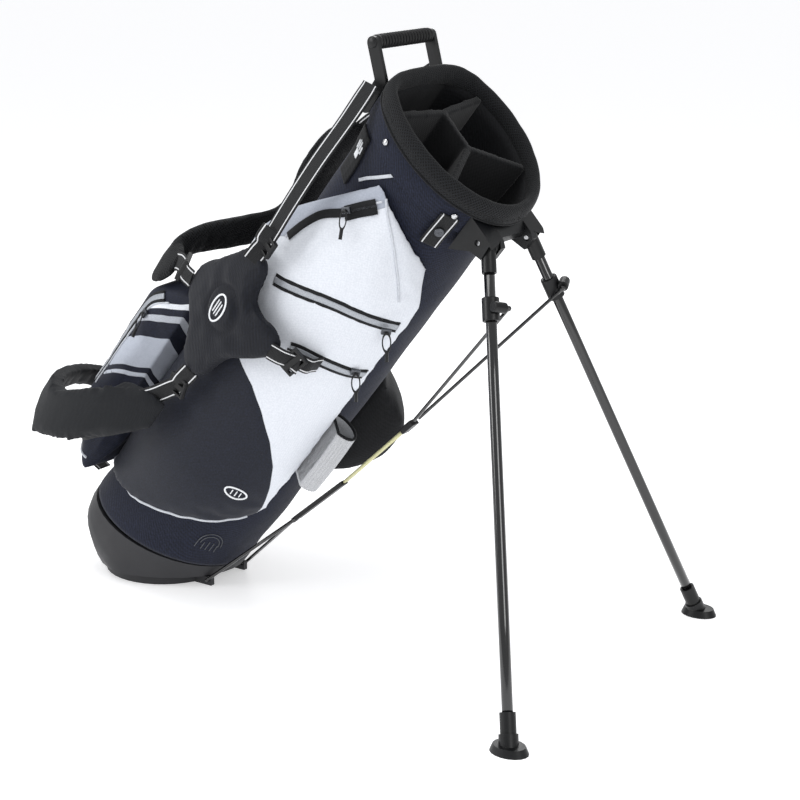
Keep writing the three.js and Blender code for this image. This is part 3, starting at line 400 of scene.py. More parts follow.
# Stoved enamel: smooth, with a faint orange-peel and a clear top coat.
enamel_roughness = 0.13
leg_enamel, tree, shader = new_material(
    "gloss_black_enamel", 0x040405, enamel_roughness, Coat_Weight=0.7, Coat_Roughness=0.08)
place = add_node(tree, "ShaderNodeTexCoord")
scuffs = noise_field(tree, place, 30.0, 6.0)
drive(tree, shader, Roughness=to_range(tree, scuffs, 0.3, 0.75, enamel_roughness, enamel_roughness + 0.07),
      Normal=relief(tree, 0.02, 0.0002, noise_field(tree, place, 300.0, 1.0)))

fibreglass, tree, shader = new_material("pultruded_glass_fibre", 0xd9d7a2, 0.36, Transmission_Weight=0.12)
strands = noise_field(tree, add_node(tree, "ShaderNodeTexCoord"), 260.0, 3.0)
drive(tree, shader, Base_Color=blend_colours(tree, strands, 0xc9c68a, 0xe6e4bb))


def principal_axis(points):
    centre = points.mean(0)
    _, _, directions = np.linalg.svd(points - centre, full_matrices=False)
    return centre, directions[0]


def section_frame(direction):
    direction = direction / np.linalg.norm(direction)
    side = np.cross(direction, (0.0, 0.0, 1.0) if abs(direction[2]) < 0.9 else (1.0, 0.0, 0.0))
    side /= np.linalg.norm(side)
    return direction, side, np.cross(direction, side)


def turned_points(start, end, profile, sides=32):
    """A turned solid between two points. Its profile lists (share of the length, radius)."""
    start, end = np.asarray(start, float), np.asarray(end, float)
    _, side, up = section_frame(end - start)
    points = [start]
    for share, radius in profile:
        for k in range(sides):
            a = 2 * math.pi * k / sides
            points.append(start + (end - start) * share + radius * (math.cos(a) * side + math.sin(a) * up))
    points.append(end)
    faces = [(0, 1 + (k + 1) % sides, 1 + k) for k in range(sides)]
    for i in range(len(profile) - 1):
        for k in range(sides):
            m = (k + 1) % sides
            a, b = 1 + i * sides, 1 + (i + 1) * sides
            faces.append((a + k, a + m, b + m, b + k))
    last = 1 + (len(profile) - 1) * sides
    faces += [(last + k, last + (k + 1) % sides, len(points) - 1) for k in range(sides)]
    return points, faces


def node_points(name):
    return np.array([v.co[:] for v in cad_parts[name].data.vertices])


def round_rod(name, piece_name, material, body, radius, edge=0.0006):
    """A smooth round rod in the place of a faceted one."""
    points = node_points(name)
    centre, direction = principal_axis(points)
    along = (points - centre) @ direction
    start, end = centre + direction * along.min(), centre + direction * along.max()
    length = along.max() - along.min()
    profile = [(0, radius - edge), (edge / length, radius), (0.25, radius), (0.5, radius), (0.75, radius),
               (1 - edge / length, radius), (1, radius - edge)]
    made, faces = turned_points(start, end, profile)
    return make_piece(piece_name, made, faces, material, body, (name,), local=False)


for side in ("near", "far"):
    round_rod(f"leg_tube_{side}", f"leg_{side}_tube", leg_enamel, f"leg_{side}", 0.0065)
    round_rod(f"fibre_rod_{side}", f"{side}_glass_rod", fibreglass, "push_rod", 0.002, 0.0003)
    finish_node(f"upper_rod_{side}", leg_enamel)
    finish_node(f"pivot_pin_{side}", nickel, 0.5)
finish_node("lower_fork", leg_enamel)
finish_node("rocker_pin", nickel, 0.4)

# ---- Cuff roll: a foam roll in black spacer mesh round the mouth ----
# Warp-knitted spacer fabric with hexagonal holes about 3 mm apart over a foam core, turned over the
# rim and sewn under its outer edge, where a flat binding shows.


def hex_cells(tree, coordinate, pitch_mm):
    """1 on the threads and 0 in the holes of a hexagonal knit, from a cell pattern on a flat layout."""
    per_metre = 1000 / pitch_mm
    stretched = add_node(tree, "ShaderNodeMapping", None, {
        "Vector": coordinate, "Scale": (per_metre, per_metre, 1.0)})
    reaches = []
    for shift in (0.0, 0.5):
        vector_maths = "ShaderNodeVectorMath"
        cell = stretched.outputs[0]
        for operation, vector in (("ADD", {1: (shift, shift, 0.0)}), ("FRACTION", {}),
                                  ("SUBTRACT", {1: (0.5, 0.5, 0.0)}), ("MULTIPLY", {1: (1.0, 1.0, 0.0)})):
            cell = add_node(tree, vector_maths, {"operation": operation}, {0: cell, **vector}).outputs[0]
        reach = add_node(tree, vector_maths, {"operation": "LENGTH"}, {0: cell})
        reaches.append(reach.outputs["Value"])
    return to_range(tree, arithmetic(tree, "MINIMUM", *reaches), 0.17, 0.30, kind="SMOOTHSTEP")


# Spacer mesh: raised threads round holes, laid out by the piece's own flat layout. The holes are painted near
# black, darker than the threads, as painted shade inside them.
mesh_colour, hole_shade_colour, mesh_pitch = 0x15171a, 0x010101, 4.2
spacer_mesh, tree, shader = new_material(
    "black_spacer_mesh", mesh_colour, 0.8, Sheen_Weight=0.05, Specular_IOR_Level=0.25)
place = add_node(tree, "ShaderNodeTexCoord")
threads = hex_cells(tree, place.outputs["UV"], mesh_pitch)
fuzzy_threads = arithmetic(tree, "MULTIPLY_ADD", noise_field(tree, place, 500.0), 0.25, threads)
drive(tree, shader, Base_Color=blend_colours(tree, threads, hole_shade_colour, mesh_colour),
      Normal=relief(tree, 0.9, 0.0009, fuzzy_threads))

cuff_radial, cuff_axial, cuff_crest_x, cuff_crest_y, cuff_back = 0.008, 0.014, 0.112, 0.108, 0.088


def cuff_point(around, turn, extra=0.0):
    """A point on the roll: around the mouth, and turn round the roll's own section, 0 facing out."""
    out = (cuff_radial + extra) * math.cos(turn)
    ellipse_x, blend_width = cuff_crest_x * math.cos(around), 0.012
    flat_x = -cuff_back + blend_width * math.log1p(math.exp((ellipse_x + cuff_back) / blend_width))
    x = min(flat_x, cuff_crest_x) + out * math.cos(around)
    y = (cuff_crest_y + out) * math.sin(around)
    return x, y, mouth_height + x * mouth_slope + (cuff_axial + extra) * math.sin(turn)


cuff_around, cuff_turn = 220, 40
cuff_points, cuff_uv = [], []
for i in range(cuff_around):
    a = 2 * math.pi * i / cuff_around
    for j in range(cuff_turn):
        t = 2 * math.pi * j / cuff_turn
        plump = -0.0004 + 0.0007 * noise.noise(Vector((math.cos(a) * 6, math.sin(a) * 6, math.sin(t))))
        cuff_points.append(cuff_point(a, t, plump))
        cuff_uv.append((a * 0.11, t * 0.0115))
cuff_faces = grid_faces(cuff_around, cuff_turn)
for j in range(cuff_turn):
    k = (j + 1) % cuff_turn
    cuff_faces.append(((cuff_around - 1) * cuff_turn + j, (cuff_around - 1) * cuff_turn + k, k, j))
cuff = make_piece("cuff_padding", cuff_points, cuff_faces, spacer_mesh,
                  replaces=("cuff_roll",), uv=cuff_uv)


def end_caps(rows, columns):
    return [tuple(reversed(range(columns))), tuple((rows - 1) * columns + k for k in range(columns))]


def ribbon_mesh(path, normals, width, thickness):
    """A flat band along a path, square to its normals. Its layout runs -1 to 1 across, and in metres along."""
    path, normals = np.asarray(path, float), np.asarray(normals, float)
    along = np.gradient(path, axis=0)
    along /= np.linalg.norm(along, axis=1)[:, None]
    across = np.cross(along, normals)
    across /= np.linalg.norm(across, axis=1)[:, None]
    up = np.cross(across, along)
    stations = np.concatenate([[0], np.cumsum(np.linalg.norm(np.diff(path, axis=0), axis=1))])
    section = [(-1, 0), (-0.94, 0.5), (-0.5, 0.5), (0, 0.5), (0.5, 0.5), (0.94, 0.5), (1, 0),
               (0.94, -0.5), (0, -0.5), (-0.94, -0.5)]
    points, uv = [], []
    for i in range(len(path)):
        for u, v in section:
            points.append(path[i] + across[i] * u * width / 2 + up[i] * v * thickness)
            uv.append((u, stations[i]))
    faces = grid_faces(len(path), len(section))
    faces += end_caps(len(path), len(section))
    return points, faces, uv


def tube_mesh(path, radius, sides=8, closed=False):
    """A round cord or piping along a path."""
    path = np.asarray(path, float)
    along = np.gradient(path, axis=0)
    if closed:
        along = np.roll(path, -1, axis=0) - np.roll(path, 1, axis=0)
    along /= np.linalg.norm(along, axis=1)[:, None]
    _, side, _ = section_frame(along[0])
    points, stations = [], 0.0
    uv = []
    for i, direction in enumerate(along):
        side = side - direction * (side @ direction)
        side /= np.linalg.norm(side)
        up = np.cross(direction, side)
        stations += np.linalg.norm(path[i] - path[i - 1]) if i else 0.0
        for k in range(sides):
            a = 2 * math.pi * k / sides
            points.append(path[i] + radius * (math.cos(a) * side + math.sin(a) * up))
            uv.append((a * radius, stations))
    faces = grid_faces(len(path), sides)
    if closed:
        base = (len(path) - 1) * sides
        faces += [(base + k, base + (k + 1) % sides, (k + 1) % sides, k) for k in range(sides)]
    else:
        faces += end_caps(len(path), sides)
    return points, faces, uv


def smooth_path(points, count):
    """A Catmull-Rom curve through the points, resampled evenly."""
    points = np.asarray(points, float)
    ends = np.vstack([2 * points[0] - points[1], points, 2 * points[-1] - points[-2]])
    dense = []
    for i in range(1, len(ends) - 2):
        p0, p1, p2, p3 = ends[i - 1:i + 3]
        for t in np.linspace(0, 1, 24, endpoint=False):
            dense.append(0.5 * ((2 * p1) + (p2 - p0) * t + (2 * p0 - 5 * p1 + 4 * p2 - p3) * t ** 2
                                + (3 * p1 - p0 - 3 * p2 + p3) * t ** 3))
    dense = np.vstack([dense, points[-1:]])
    stations = np.concatenate([[0], np.cumsum(np.linalg.norm(np.diff(dense, axis=0), axis=1))])
    even = np.linspace(0, stations[-1], count)
    return np.stack([np.interp(even, stations, dense[:, k]) for k in range(points.shape[1])], axis=1)


binding_around = [cuff_point(2 * math.pi * i / 200, math.radians(-48), 0.0003) for i in range(200)]
binding_points, binding_faces, binding_uv = tube_mesh(binding_around, 0.0014, 10, closed=True)
make_piece("cuff_binding", binding_points, binding_faces, black_cloth, uv=binding_uv)

# ---- Club divider: four bays under the rim, covered in black fleece ----
# Boards wrapped in brushed fleece, so their edges are round and their surface takes almost no light.
fleece = cloth_material("black_brushed_fleece", 0x060708, 0x111215, pitch_mm=2.4, roughness=0.95, sheen=0.12)


def settle(mesh, rounds, shrink=0.0):
    """Smooths a mesh some rounds, then draws it in along its normals."""
    work = bmesh.new()
    work.from_mesh(mesh)
    for _ in range(rounds):
        bmesh.ops.smooth_vert(
            work, verts=work.verts, factor=0.5, use_axis_x=True, use_axis_y=True, use_axis_z=True)
    if shrink:
        work.normal_update()
        for v in work.verts:
            v.co -= v.normal * shrink
    work.to_mesh(mesh)
    work.free()


def remeshed(name, node, voxel, shrink=0.0, rounds=2):
    """A closed, even mesh of a CAD solid, its edges eased, as a new object in the row frame."""
    work = bmesh.new()
    work.from_mesh(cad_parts[node].data)
    bmesh.ops.remove_doubles(work, verts=work.verts, dist=0.00002)
    data = bpy.data.meshes.new(name)
    work.to_mesh(data)
    work.free()
    piece = bpy.data.objects.new(name, data)
    bpy.context.scene.collection.objects.link(piece)
    even = piece.modifiers.new("even", "REMESH")
    even.mode = "VOXEL"
    even.voxel_size = voxel
    bpy.context.view_layer.update()
    result = bpy.data.meshes.new_from_object(piece.evaluated_get(bpy.context.evaluated_depsgraph_get()))
    piece.modifiers.clear()
    piece.data = result
    settle(result, rounds, shrink)
    result.shade_smooth()
    return piece


def dress(piece, material, node):
    """Gives a soft piece its cloth, in the place of its CAD solid."""
    piece.data.materials.clear()
    piece.data.materials.append(material)
    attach(piece, "bag")
    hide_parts(node)


divider = remeshed("divider_fleece", "club_divider", 0.0022, rounds=3)
dress(divider, fleece, "club_divider")

# ---- Handle grip: ribbed rubber over the bar ----
# A moulded sleeve with rings along it, which Geometry Nodes place along the bar and join to one mesh.
rubber = moulded_material("black_grip_rubber", 0x0a0a0b, 0x17181a, 0.55, 0.6, 0.3, Specular_IOR_Level=0.4)
grip_low, grip_high = (np.array(corner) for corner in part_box("handle_grip"))
grip_centre = (grip_low + grip_high) / 2
grip_half = (grip_high[1] - grip_low[1]) / 2
grip_core_radius = 0.0068


def repeated_along(name, path, make_item, count, material, normals=None):
    """Geometry Nodes put one small item at even places along a path, turned to follow it, and realise them."""
    curve_data = bpy.data.meshes.new(name + "_path")
    curve_data.from_pydata([tuple(p) for p in path], [(i, i + 1) for i in range(len(path) - 1)], [])
    if normals is not None:
        attribute = curve_data.attributes.new("out", "FLOAT_VECTOR", "POINT")
        attribute.data.foreach_set("vector", np.asarray(normals, np.float32).ravel())
    holder = bpy.data.objects.new(name, curve_data)
    bpy.context.scene.collection.objects.link(holder)
    tree = bpy.data.node_groups.new(name + "_tree", "GeometryNodeTree")
    tree.interface.new_socket("Geometry", in_out="INPUT", socket_type="NodeSocketGeometry")
    tree.interface.new_socket("Count", in_out="INPUT", socket_type="NodeSocketInt")
    tree.interface.new_socket("Geometry", in_out="OUTPUT", socket_type="NodeSocketGeometry")
    entry = add_node(tree, "NodeGroupInput")
    line = add_node(tree, "GeometryNodeMeshToCurve", None, {0: entry.outputs[0]})
    places = add_node(tree, "GeometryNodeResampleCurve", None, {
        "Curve": line.outputs[0], "Count": entry.outputs[1]})
    tangent = add_node(tree, "GeometryNodeInputTangent")
    turn = add_node(tree, "FunctionNodeAlignRotationToVector", {"axis": "Z"}, {"Vector": tangent.outputs[0]})
    if normals is not None:
        out = add_node(tree, "GeometryNodeInputNamedAttribute", {"data_type": "FLOAT_VECTOR"}, {"Name": "out"})
        turn = add_node(tree, "FunctionNodeAlignRotationToVector", {"axis": "X", "pivot_axis": "Z"}, {
            "Rotation": turn.outputs[0], "Vector": out.outputs[0]})
    copies = add_node(tree, "GeometryNodeInstanceOnPoints", None, {
        "Points": places.outputs[0], "Instance": make_item(tree), "Rotation": turn.outputs[0]})
    real = add_node(tree, "GeometryNodeRealizeInstances", None, {0: copies.outputs[0]})
    finish = add_node(tree, "GeometryNodeSetMaterial", None, {
        "Geometry": real.outputs[0], "Material": material})
    add_node(tree, "NodeGroupOutput", None, {0: finish.outputs[0]})
    modifier = holder.modifiers.new("repeat", "NODES")
    modifier.node_group = tree
    identifiers = {s.name: s.identifier for s in tree.interface.items_tree if s.in_out == "INPUT"}
    modifier[identifiers["Count"]] = count
    bpy.context.view_layer.update()
    result = bpy.data.meshes.new_from_object(holder.evaluated_get(bpy.context.evaluated_depsgraph_get()))
    holder.modifiers.clear()
    holder.data = result
    if not result.materials:
        result.materials.append(material)
    result.shade_smooth()
    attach(holder, "bag")


def grip_ring(tree):
    """A ring about the bar, as a node output."""
    ring_curve = add_node(tree, "GeometryNodeCurvePrimitiveCircle", None, {"Resolution": 28, "Radius": 0.0071})
    section = add_node(tree, "GeometryNodeCurvePrimitiveCircle", None, {"Resolution": 8, "Radius": 0.0019})
    return add_node(tree, "GeometryNodeCurveToMesh", None, {
        "Curve": ring_curve.outputs[0], "Profile Curve": section.outputs[0]}).outputs[0]


def block_item(across, through, along):
    """A small rounded block: its size along the surface's outward, sideways and path directions."""
    def build(tree):
        cube = add_node(tree, "GeometryNodeMeshCube", None, {"Size": (through, across, along)})
        rounded = add_node(tree, "GeometryNodeSubdivisionSurface", None, {"Mesh": cube.outputs[0], "Level": 1})
        return rounded.outputs[0]
    return build


grip_start = grip_centre - np.array((0, grip_half, 0))
grip_end = grip_centre + np.array((0, grip_half, 0))
core_points, core_faces = turned_points(grip_start, grip_end, [
    (0, 0.0078), (0.012, 0.0086), (0.035, 0.0086), (0.05, grip_core_radius), (0.5, grip_core_radius),
    (0.95, grip_core_radius), (0.965, 0.0086), (0.988, 0.0086), (1, 0.0078)], 36)
make_piece("grip_sleeve", core_points, core_faces, rubber, replaces=("handle_grip",),
           local=False)
rib_start = grip_start + np.array((0, 0.008, 0))
rib_end = grip_end - np.array((0, 0.008, 0))
repeated_along("grip_ribs", np.linspace(rib_start, rib_end, 12), grip_ring, 17, rubber)
for side, y in (("near", -0.060), ("far", 0.060)):
    eye = grip_centre + np.array((0, y, 0))
    outward = np.array((0, math.copysign(1, y), 0))
    eye_points, eye_faces = turned_points(eye + outward * 0.002, eye + outward * 0.0042, [
        (0, 0.0066), (0.7, 0.0066), (1, 0.0058)], 28)
    make_piece(f"handle_eye_{side}", eye_points, eye_faces, black_plastic, local=False)

# ---- Pockets: sewn pouches, puffed over the shell ----
# Each pouch is a closed form inflated by a short cloth simulation while it stays sewn down where it
# meets the shell, so the fabric domes between its seams and wrinkles a little beside them.

pocket_radius = 0.145


def inflate(piece, pressure, cap, frames, hold=None):
    """Runs the cloth outwards. hold gives each point's freedom, 0 for sewn down and 1 for free."""
    start = np.array([v.co[:] for v in piece.data.vertices])
    freedom = hold(in_bag(start)) if hold else np.ones(len(start))
    group = piece.vertex_groups.new(name="sewn")
    for index in np.nonzero(freedom < 0.05)[0]:
        group.add([int(index)], 1.0, "REPLACE")
    cloth = piece.modifiers.new("cloth", "CLOTH")
    cloth.settings.use_pressure = True
    cloth.settings.uniform_pressure_force = pressure
    cloth.settings.effector_weights.gravity = 0
    cloth.settings.tension_stiffness = 15.0
    cloth.settings.compression_stiffness = 15.0
    cloth.settings.bending_stiffness = 0.3
    cloth.settings.quality = 4
    cloth.settings.vertex_group_mass = "sewn"
    cloth.point_cache.frame_end = frames
    for step in range(1, frames + 1):
        bpy.context.scene.frame_set(step)
    result = bpy.data.meshes.new_from_object(piece.evaluated_get(bpy.context.evaluated_depsgraph_get()))
    piece.modifiers.clear()
    piece.vertex_groups.clear()
    end = np.array([v.co[:] for v in result.vertices])
    bpy.context.scene.frame_set(1)
    move = (end - start) * freedom[:, None]
    length = np.linalg.norm(move, axis=1)
    move *= (cap * np.tanh(length / cap) / np.maximum(length, 1e-9))[:, None]
    for v, point in zip(piece.data.vertices, start + move):
        v.co = point


def polar(points):
    """Degrees from the leg side towards the near side, and height, of points in the bag's frame."""
    return np.degrees(np.arctan2(-points[:, 1], points[:, 0])), points[:, 2]


def off_shell(points):
    """How far points stand outside the shell, roughly."""
    angle = np.arctan2(points[:, 1], points[:, 0])
    x, y = shell_radius_point(angle, points[:, 2])
    return np.hypot(points[:, 0], points[:, 1]) - np.hypot(x, y)


def pouch_freedom(points):
    return ease(0.006, 0.022, off_shell(points))


def line_distance(points, line):
    """Metres along the surface from each point to a line given as (degrees, height in mm), positive where the
    point lies to the left of the line's direction."""
    degrees, height = polar(points)
    flat = np.stack([np.radians(degrees) * pocket_radius, height], axis=1)
    line = np.asarray(line, float) * np.array([math.radians(pocket_radius), 0.001])
    best = np.full(len(flat), 1e9)
    side = np.ones(len(flat))
    for a, b in zip(line[:-1], line[1:]):
        run = b - a
        t = np.clip(((flat - a) @ run) / (run @ run), 0, 1)
        gap = flat - (a + t[:, None] * run)
        distance = np.linalg.norm(gap, axis=1)
        cross = run[0] * (flat - a)[:, 1] - run[1] * (flat - a)[:, 0]
        closer = distance < best
        best = np.where(closer, distance, best)
        side = np.where(closer, np.sign(cross), side)
    return best * side


def put_attribute(piece, name, values):
    attribute = piece.data.attributes.new(name, "FLOAT", "POINT")
    attribute.data.foreach_set("value", np.asarray(values, np.float32))


def bag_tree(piece):
    """The piece's surface in the bag's frame, for laying trim on it."""
    faces = [tuple(face.vertices) for face in piece.data.polygons]
    return BVHTree.FromPolygons([tuple(p) for p in bag_points(piece)], faces)


def lie_on(tree, line, count, lift):
    """A smooth line of (degrees, height in mm) laid on a surface: its points and outward normals."""
    even = smooth_path(np.asarray(line, float) * np.array([2.5, 1.0]), count) / np.array([2.5, 1.0])
    points, normals = [], []
    for degrees, height in even:
        a = math.radians(-degrees)
        outward = Vector((math.cos(a), math.sin(a), 0))
        hit, normal, _, _ = tree.ray_cast(Vector((0, 0, height / 1000)) + outward * 0.36, -outward)
        if hit is None:
            continue
        if normal.dot(outward) < 0:
            normal = -normal
        points.append(hit + normal * lift)
        normals.append(normal)
    points, normals = np.array(points), np.array(normals)
    for _ in range(3):
        normals[1:-1] = (normals[:-2] + normals[1:-1] + normals[2:]) / 3
        points[1:-1] = (points[:-2] + 2 * points[1:-1] + points[2:]) / 4
    return points, normals / np.linalg.norm(normals, axis=1)[:, None]


def panel_material(name, base, base_light, panels):
    """Coated woven polyester sewn from panels of several colours: each panel is where its attribute is
    positive, with a fine dark seam at its edge."""
    material, tree, shader = new_material(name, base, 0.62, Sheen_Weight=0.04, Specular_IOR_Level=0.25)
    place = add_node(tree, "ShaderNodeTexCoord")
    crease = relief(tree, 0.3, 0.003, noise_field(tree, place, 14.0, 4.0))
    bump, weave = weave_bump(tree, place.outputs["UV"], 1.4, 0.3, 0.22, crease)
    level = arithmetic(tree, "MULTIPLY_ADD", weave, 0.18, noise_field(tree, place, 480.0))
    tone = to_range(tree, level, 0.3, 0.8)
    colour = blend_colours(tree, tone, base, base_light)
    for attribute, panel, panel_light in panels:
        edge = add_node(tree, "ShaderNodeAttribute", {"attribute_name": attribute}).outputs["Fac"]
        inside = arithmetic(tree, "GREATER_THAN", edge, 0.0)
        joined = blend_colours(tree, inside, colour, blend_colours(tree, tone, panel, panel_light))
        seam = to_range(tree, arithmetic(tree, "ABSOLUTE", edge), 0.0, 0.0011, 0.72, 1.0, "SMOOTHSTEP")
        colour = add_node(tree, "ShaderNodeMix", {"data_type": "RGBA", "blend_type": "MULTIPLY"}, {
            0: 1.0, 6: joined, 7: seam}).outputs[2]
    drive(tree, shader, Base_Color=colour, Normal=bump)
    return material


def flat_layout(piece):
    """A layout by arc and height, so that the weave follows the bag."""
    degrees, height = polar(bag_points(piece))
    degrees = np.where(degrees < -60, degrees + 360, degrees)
    set_layout(piece.data, np.stack([np.radians(degrees) * pocket_radius, height], axis=1))


def sink(piece, line, depth, spread):
    """Draws the surface in along a sewn line."""
    points = bag_points(piece)
    near = np.exp(-(line_distance(points, line) / spread) ** 2) * pouch_freedom(points)
    for v, share in zip(piece.data.vertices, near):
        if share > 0.01:
            v.co -= v.normal * depth * share


# The near pocket: white and navy, with a light grey panel over its top zip.
top_zip = [(112, 590), (109.5, 618), (106, 641), (98.5, 660), (91, 677), (84, 692)]
chest_zip = [(103, 540), (100, 543), (88, 557), (73, 573), (58, 581), (38, 585)]
side_zip = [(76, 489), (71, 495), (60, 500), (48, 502), (36.5, 501)]
navy_split = [(116, 446), (104, 436), (93, 421), (81, 409), (70, 389), (58, 357), (49, 322), (43, 285),
              (37, 232)]

near_pocket = remeshed("near_pocket_shell", "near_pocket", 0.0046, shrink=0.002, rounds=3)
inflate(near_pocket, 4.0, 0.010, 20, pouch_freedom)
points = bag_points(near_pocket)
degrees, height = polar(points)
forward = 0.007 * (1 - ease(34, 62, degrees)) * ease(0.012, 0.034, off_shell(points)) * ease(0.24, 0.34, height)
reshape(near_pocket, points + np.stack([0.35 * forward, forward, 0 * forward], axis=1))
settle(near_pocket.data, 2)
sink(near_pocket, chest_zip, 0.0022, 0.006)
sink(near_pocket, side_zip, 0.0018, 0.006)
sink(near_pocket, navy_split, 0.0012, 0.004)
settle(near_pocket.data, 1)
flat_layout(near_pocket)
here = bag_points(near_pocket)
put_attribute(near_pocket, "navy_panel", line_distance(here, navy_split))
put_attribute(near_pocket, "grey_panel", -line_distance(here, [(150, 500)] + top_zip + [(70, 730)]))
pocket_cloth = panel_material("white_coated_polyester", 0xd0d4db, 0xdfe2e8, [
    ("navy_panel", 0x0a0d17, 0x161b2b), ("grey_panel", 0x9ba1ad, 0xabb0bb)])
dress(near_pocket, pocket_cloth, "near_pocket")
near_tree = bag_tree(near_pocket)

# The ball pocket: navy, with a light grey panel and pale stripes across it.
ball_pocket = remeshed("ball_pocket_shell", "ball_pocket", 0.0046, shrink=0.003, rounds=4)
inflate(ball_pocket, 5.0, 0.010, 20, pouch_freedom)
settle(ball_pocket.data, 2)
flat_layout(ball_pocket)
degrees, height = polar(bag_points(ball_pocket))
degrees = np.where(degrees < 0, degrees + 360, degrees)
wrapped = 180 - np.abs(180 - degrees)
across_grey = height * 1000 + 5.4 * (wrapped - 140) - 339


def stripe(low, high):
    """Positive between two heights of a band that slopes down towards the spine."""
    return np.minimum(across_grey - low, high - across_grey) / 1000


spine_stop = (153.5 - wrapped) * 0.0025
for name, low, high in (
    ("grey_band", -56, 0), ("low_stripe", -74, -66), ("high_stripe", 28, 40), ("cap_stripe", 52, 62),
):
    put_attribute(ball_pocket, name, np.minimum(stripe(low, high), spine_stop))
ball_cloth = panel_material("navy_panelled_polyester", 0x0d101b, 0x1e2336, [
    ("grey_band", 0xa9afbb, 0xb9bec9), ("low_stripe", 0xb4b9c4, 0xc4c9d2),
    ("high_stripe", 0xa9adb5, 0xbcc0c8), ("cap_stripe", 0xdfe3ea, 0xeef0f4)])
dress(ball_pocket, ball_cloth, "ball_pocket")
ball_tree = bag_tree(ball_pocket)

# The far pocket: plain black.
far_pocket = remeshed("far_pocket_shell", "far_pocket", 0.0050, shrink=0.002, rounds=3)
inflate(far_pocket, 4.0, 0.010, 20, pouch_freedom)
settle(far_pocket.data, 2)
flat_layout(far_pocket)
dress(far_pocket, black_cloth, "far_pocket")

# ---- Piping, stripes and zips on the pockets ----
# Piping is a cord in a folded strip; each zip is a knitted tape with a reflective grey centre or a coil,
# sewn between two lips, with a slider and a looped pull.
piping_cloth = cloth_material("pale_grey_piping", 0xb9bdc4, 0xcfd2d8, pitch_mm=1.0, roughness=0.55)
zip_tape = cloth_material("black_zip_tape", 0x0b0c0e, 0x191a1d, pitch_mm=0.9, roughness=0.7)
reflective, tree, shader = new_material("grey_reflective_tape", 0x9fa3a9, 0.34, Metallic=0.25)
place = add_node(tree, "ShaderNodeTexCoord")
beads = add_node(tree, "ShaderNodeTexVoronoi", None, {"Vector": place.outputs["Object"], "Scale": 900.0})
drive(tree, shader, Base_Color=blend_colours(tree, beads.outputs["Distance"], 0xb2b6bc, 0x8a8e95))


def lay_piping(name, tree, line, radius, count=90):
    path, _ = lie_on(tree, line, count, 0.0004)
    points, faces, uv = tube_mesh(path, radius)
    make_piece(name, points, faces, piping_cloth, uv=uv)


def lay_tape(name, tree, line, width, material, lift=0.0012, thickness=0.0012, count=80):
    path, normals = lie_on(tree, line, count, lift)
    points, faces, uv = ribbon_mesh(path, normals, width, thickness)
    make_piece(name, points, faces, material, uv=uv)
    return path, normals


def lay_zip(name, tree, line, width, centre_width, count=80):
    """Tape, reflective centre and two rows of stitches, one along each lip."""
    lay_tape(f"{name}_tape", tree, line, width, zip_tape, 0.0010, 0.0014, count)
    path, normals = lay_tape(
        f"{name}_bright", tree, line, centre_width, reflective, 0.0019, 0.0010, count)
    along = np.gradient(path, axis=0)
    along /= np.linalg.norm(along, axis=1)[:, None]
    across = np.cross(along, normals)
    stitch_count = int(np.linalg.norm(np.diff(path, axis=0), axis=1).sum() / 0.0034)
    for side, sign in (("upper", 1), ("lower", -1)):
        row = path + across * sign * (width / 2 - 0.0009)
        repeated_along(f"{name}_{side}_stitches", in_row(row), block_item(0.0006, 0.0005, 0.0021), stitch_count,
                       zip_tape, in_row(normals) - in_row([(0, 0, 0)]))


ball_zip = [(149, 366), (152.2, 345), (153.5, 322), (154.4, 290), (155.2, 250), (156, 206), (157, 172)]
ball_lip = [(147.0, 364), (150.4, 343), (151.7, 322), (152.6, 290), (153.4, 250), (154.2, 206), (155, 172)]
ball_hem = [(139, 83), (145, 84), (151, 86), (157, 90), (163, 96), (169, 100)]
top_mouth = [(96.5, 663), (91, 680), (85.5, 694)]
top_upper_lip = [(110.5, 594), (107.8, 619), (104.3, 645), (96.8, 668), (90.6, 688), (84.8, 702)]
top_lower_lip = [(113.4, 586), (111.4, 616), (108, 637), (100.3, 653), (91.5, 667), (83.6, 683)]
near_front_edge = [(86, 709), (80, 699), (70, 683), (62, 667), (52, 641), (45, 617)]
near_hem = [(158, 88), (148, 83), (138, 83), (130, 91), (121, 101), (108, 115), (92, 135), (76, 157), (62, 178),
            (51, 195), (41, 216)]

lay_zip("chest_zip", near_tree, chest_zip, 0.0165, 0.0075)
lay_zip("side_zip", near_tree, side_zip, 0.0165, 0.0075, 40)
lay_zip("ball_zip", ball_tree, ball_zip, 0.0150, 0.0070)
lay_tape("top_zip_tape", near_tree, top_zip, 0.0110, zip_tape, 0.0012, 0.0016)
lay_tape("top_zip_mouth", near_tree, top_mouth, 0.0185, zip_tape, 0.0016, 0.0014, 24)
lay_piping("top_zip_lip_upper", near_tree, top_upper_lip, 0.0014)
lay_piping("top_zip_lip_lower", near_tree, top_lower_lip, 0.0012)
lay_piping("ball_pocket_piping", ball_tree, ball_lip, 0.0015)
lay_piping("near_pocket_edge_piping", near_tree, near_front_edge, 0.0016)
lay_piping("near_pocket_hem_piping", near_tree, near_hem, 0.0019, 110)
lay_piping("ball_pocket_hem_piping", ball_tree, ball_hem, 0.0019, 50)

coil_path, coil_normals = lie_on(near_tree, [(96.5, 664), (91, 681), (85.8, 695)], 30, 0.0028)
repeated_along("top_zip_coil", in_row(coil_path), block_item(0.0042, 0.0011, 0.0008), 26, dark_nickel,
               in_row(coil_normals) - in_row([(0, 0, 0)]))
for name in ("collar_zip", "chest_zip", "side_zip", "ball_zip"):
    finish_node(f"{name}_slider", dark_nickel, 0.7)
    finish_node(f"{name}_pull", black_plastic)

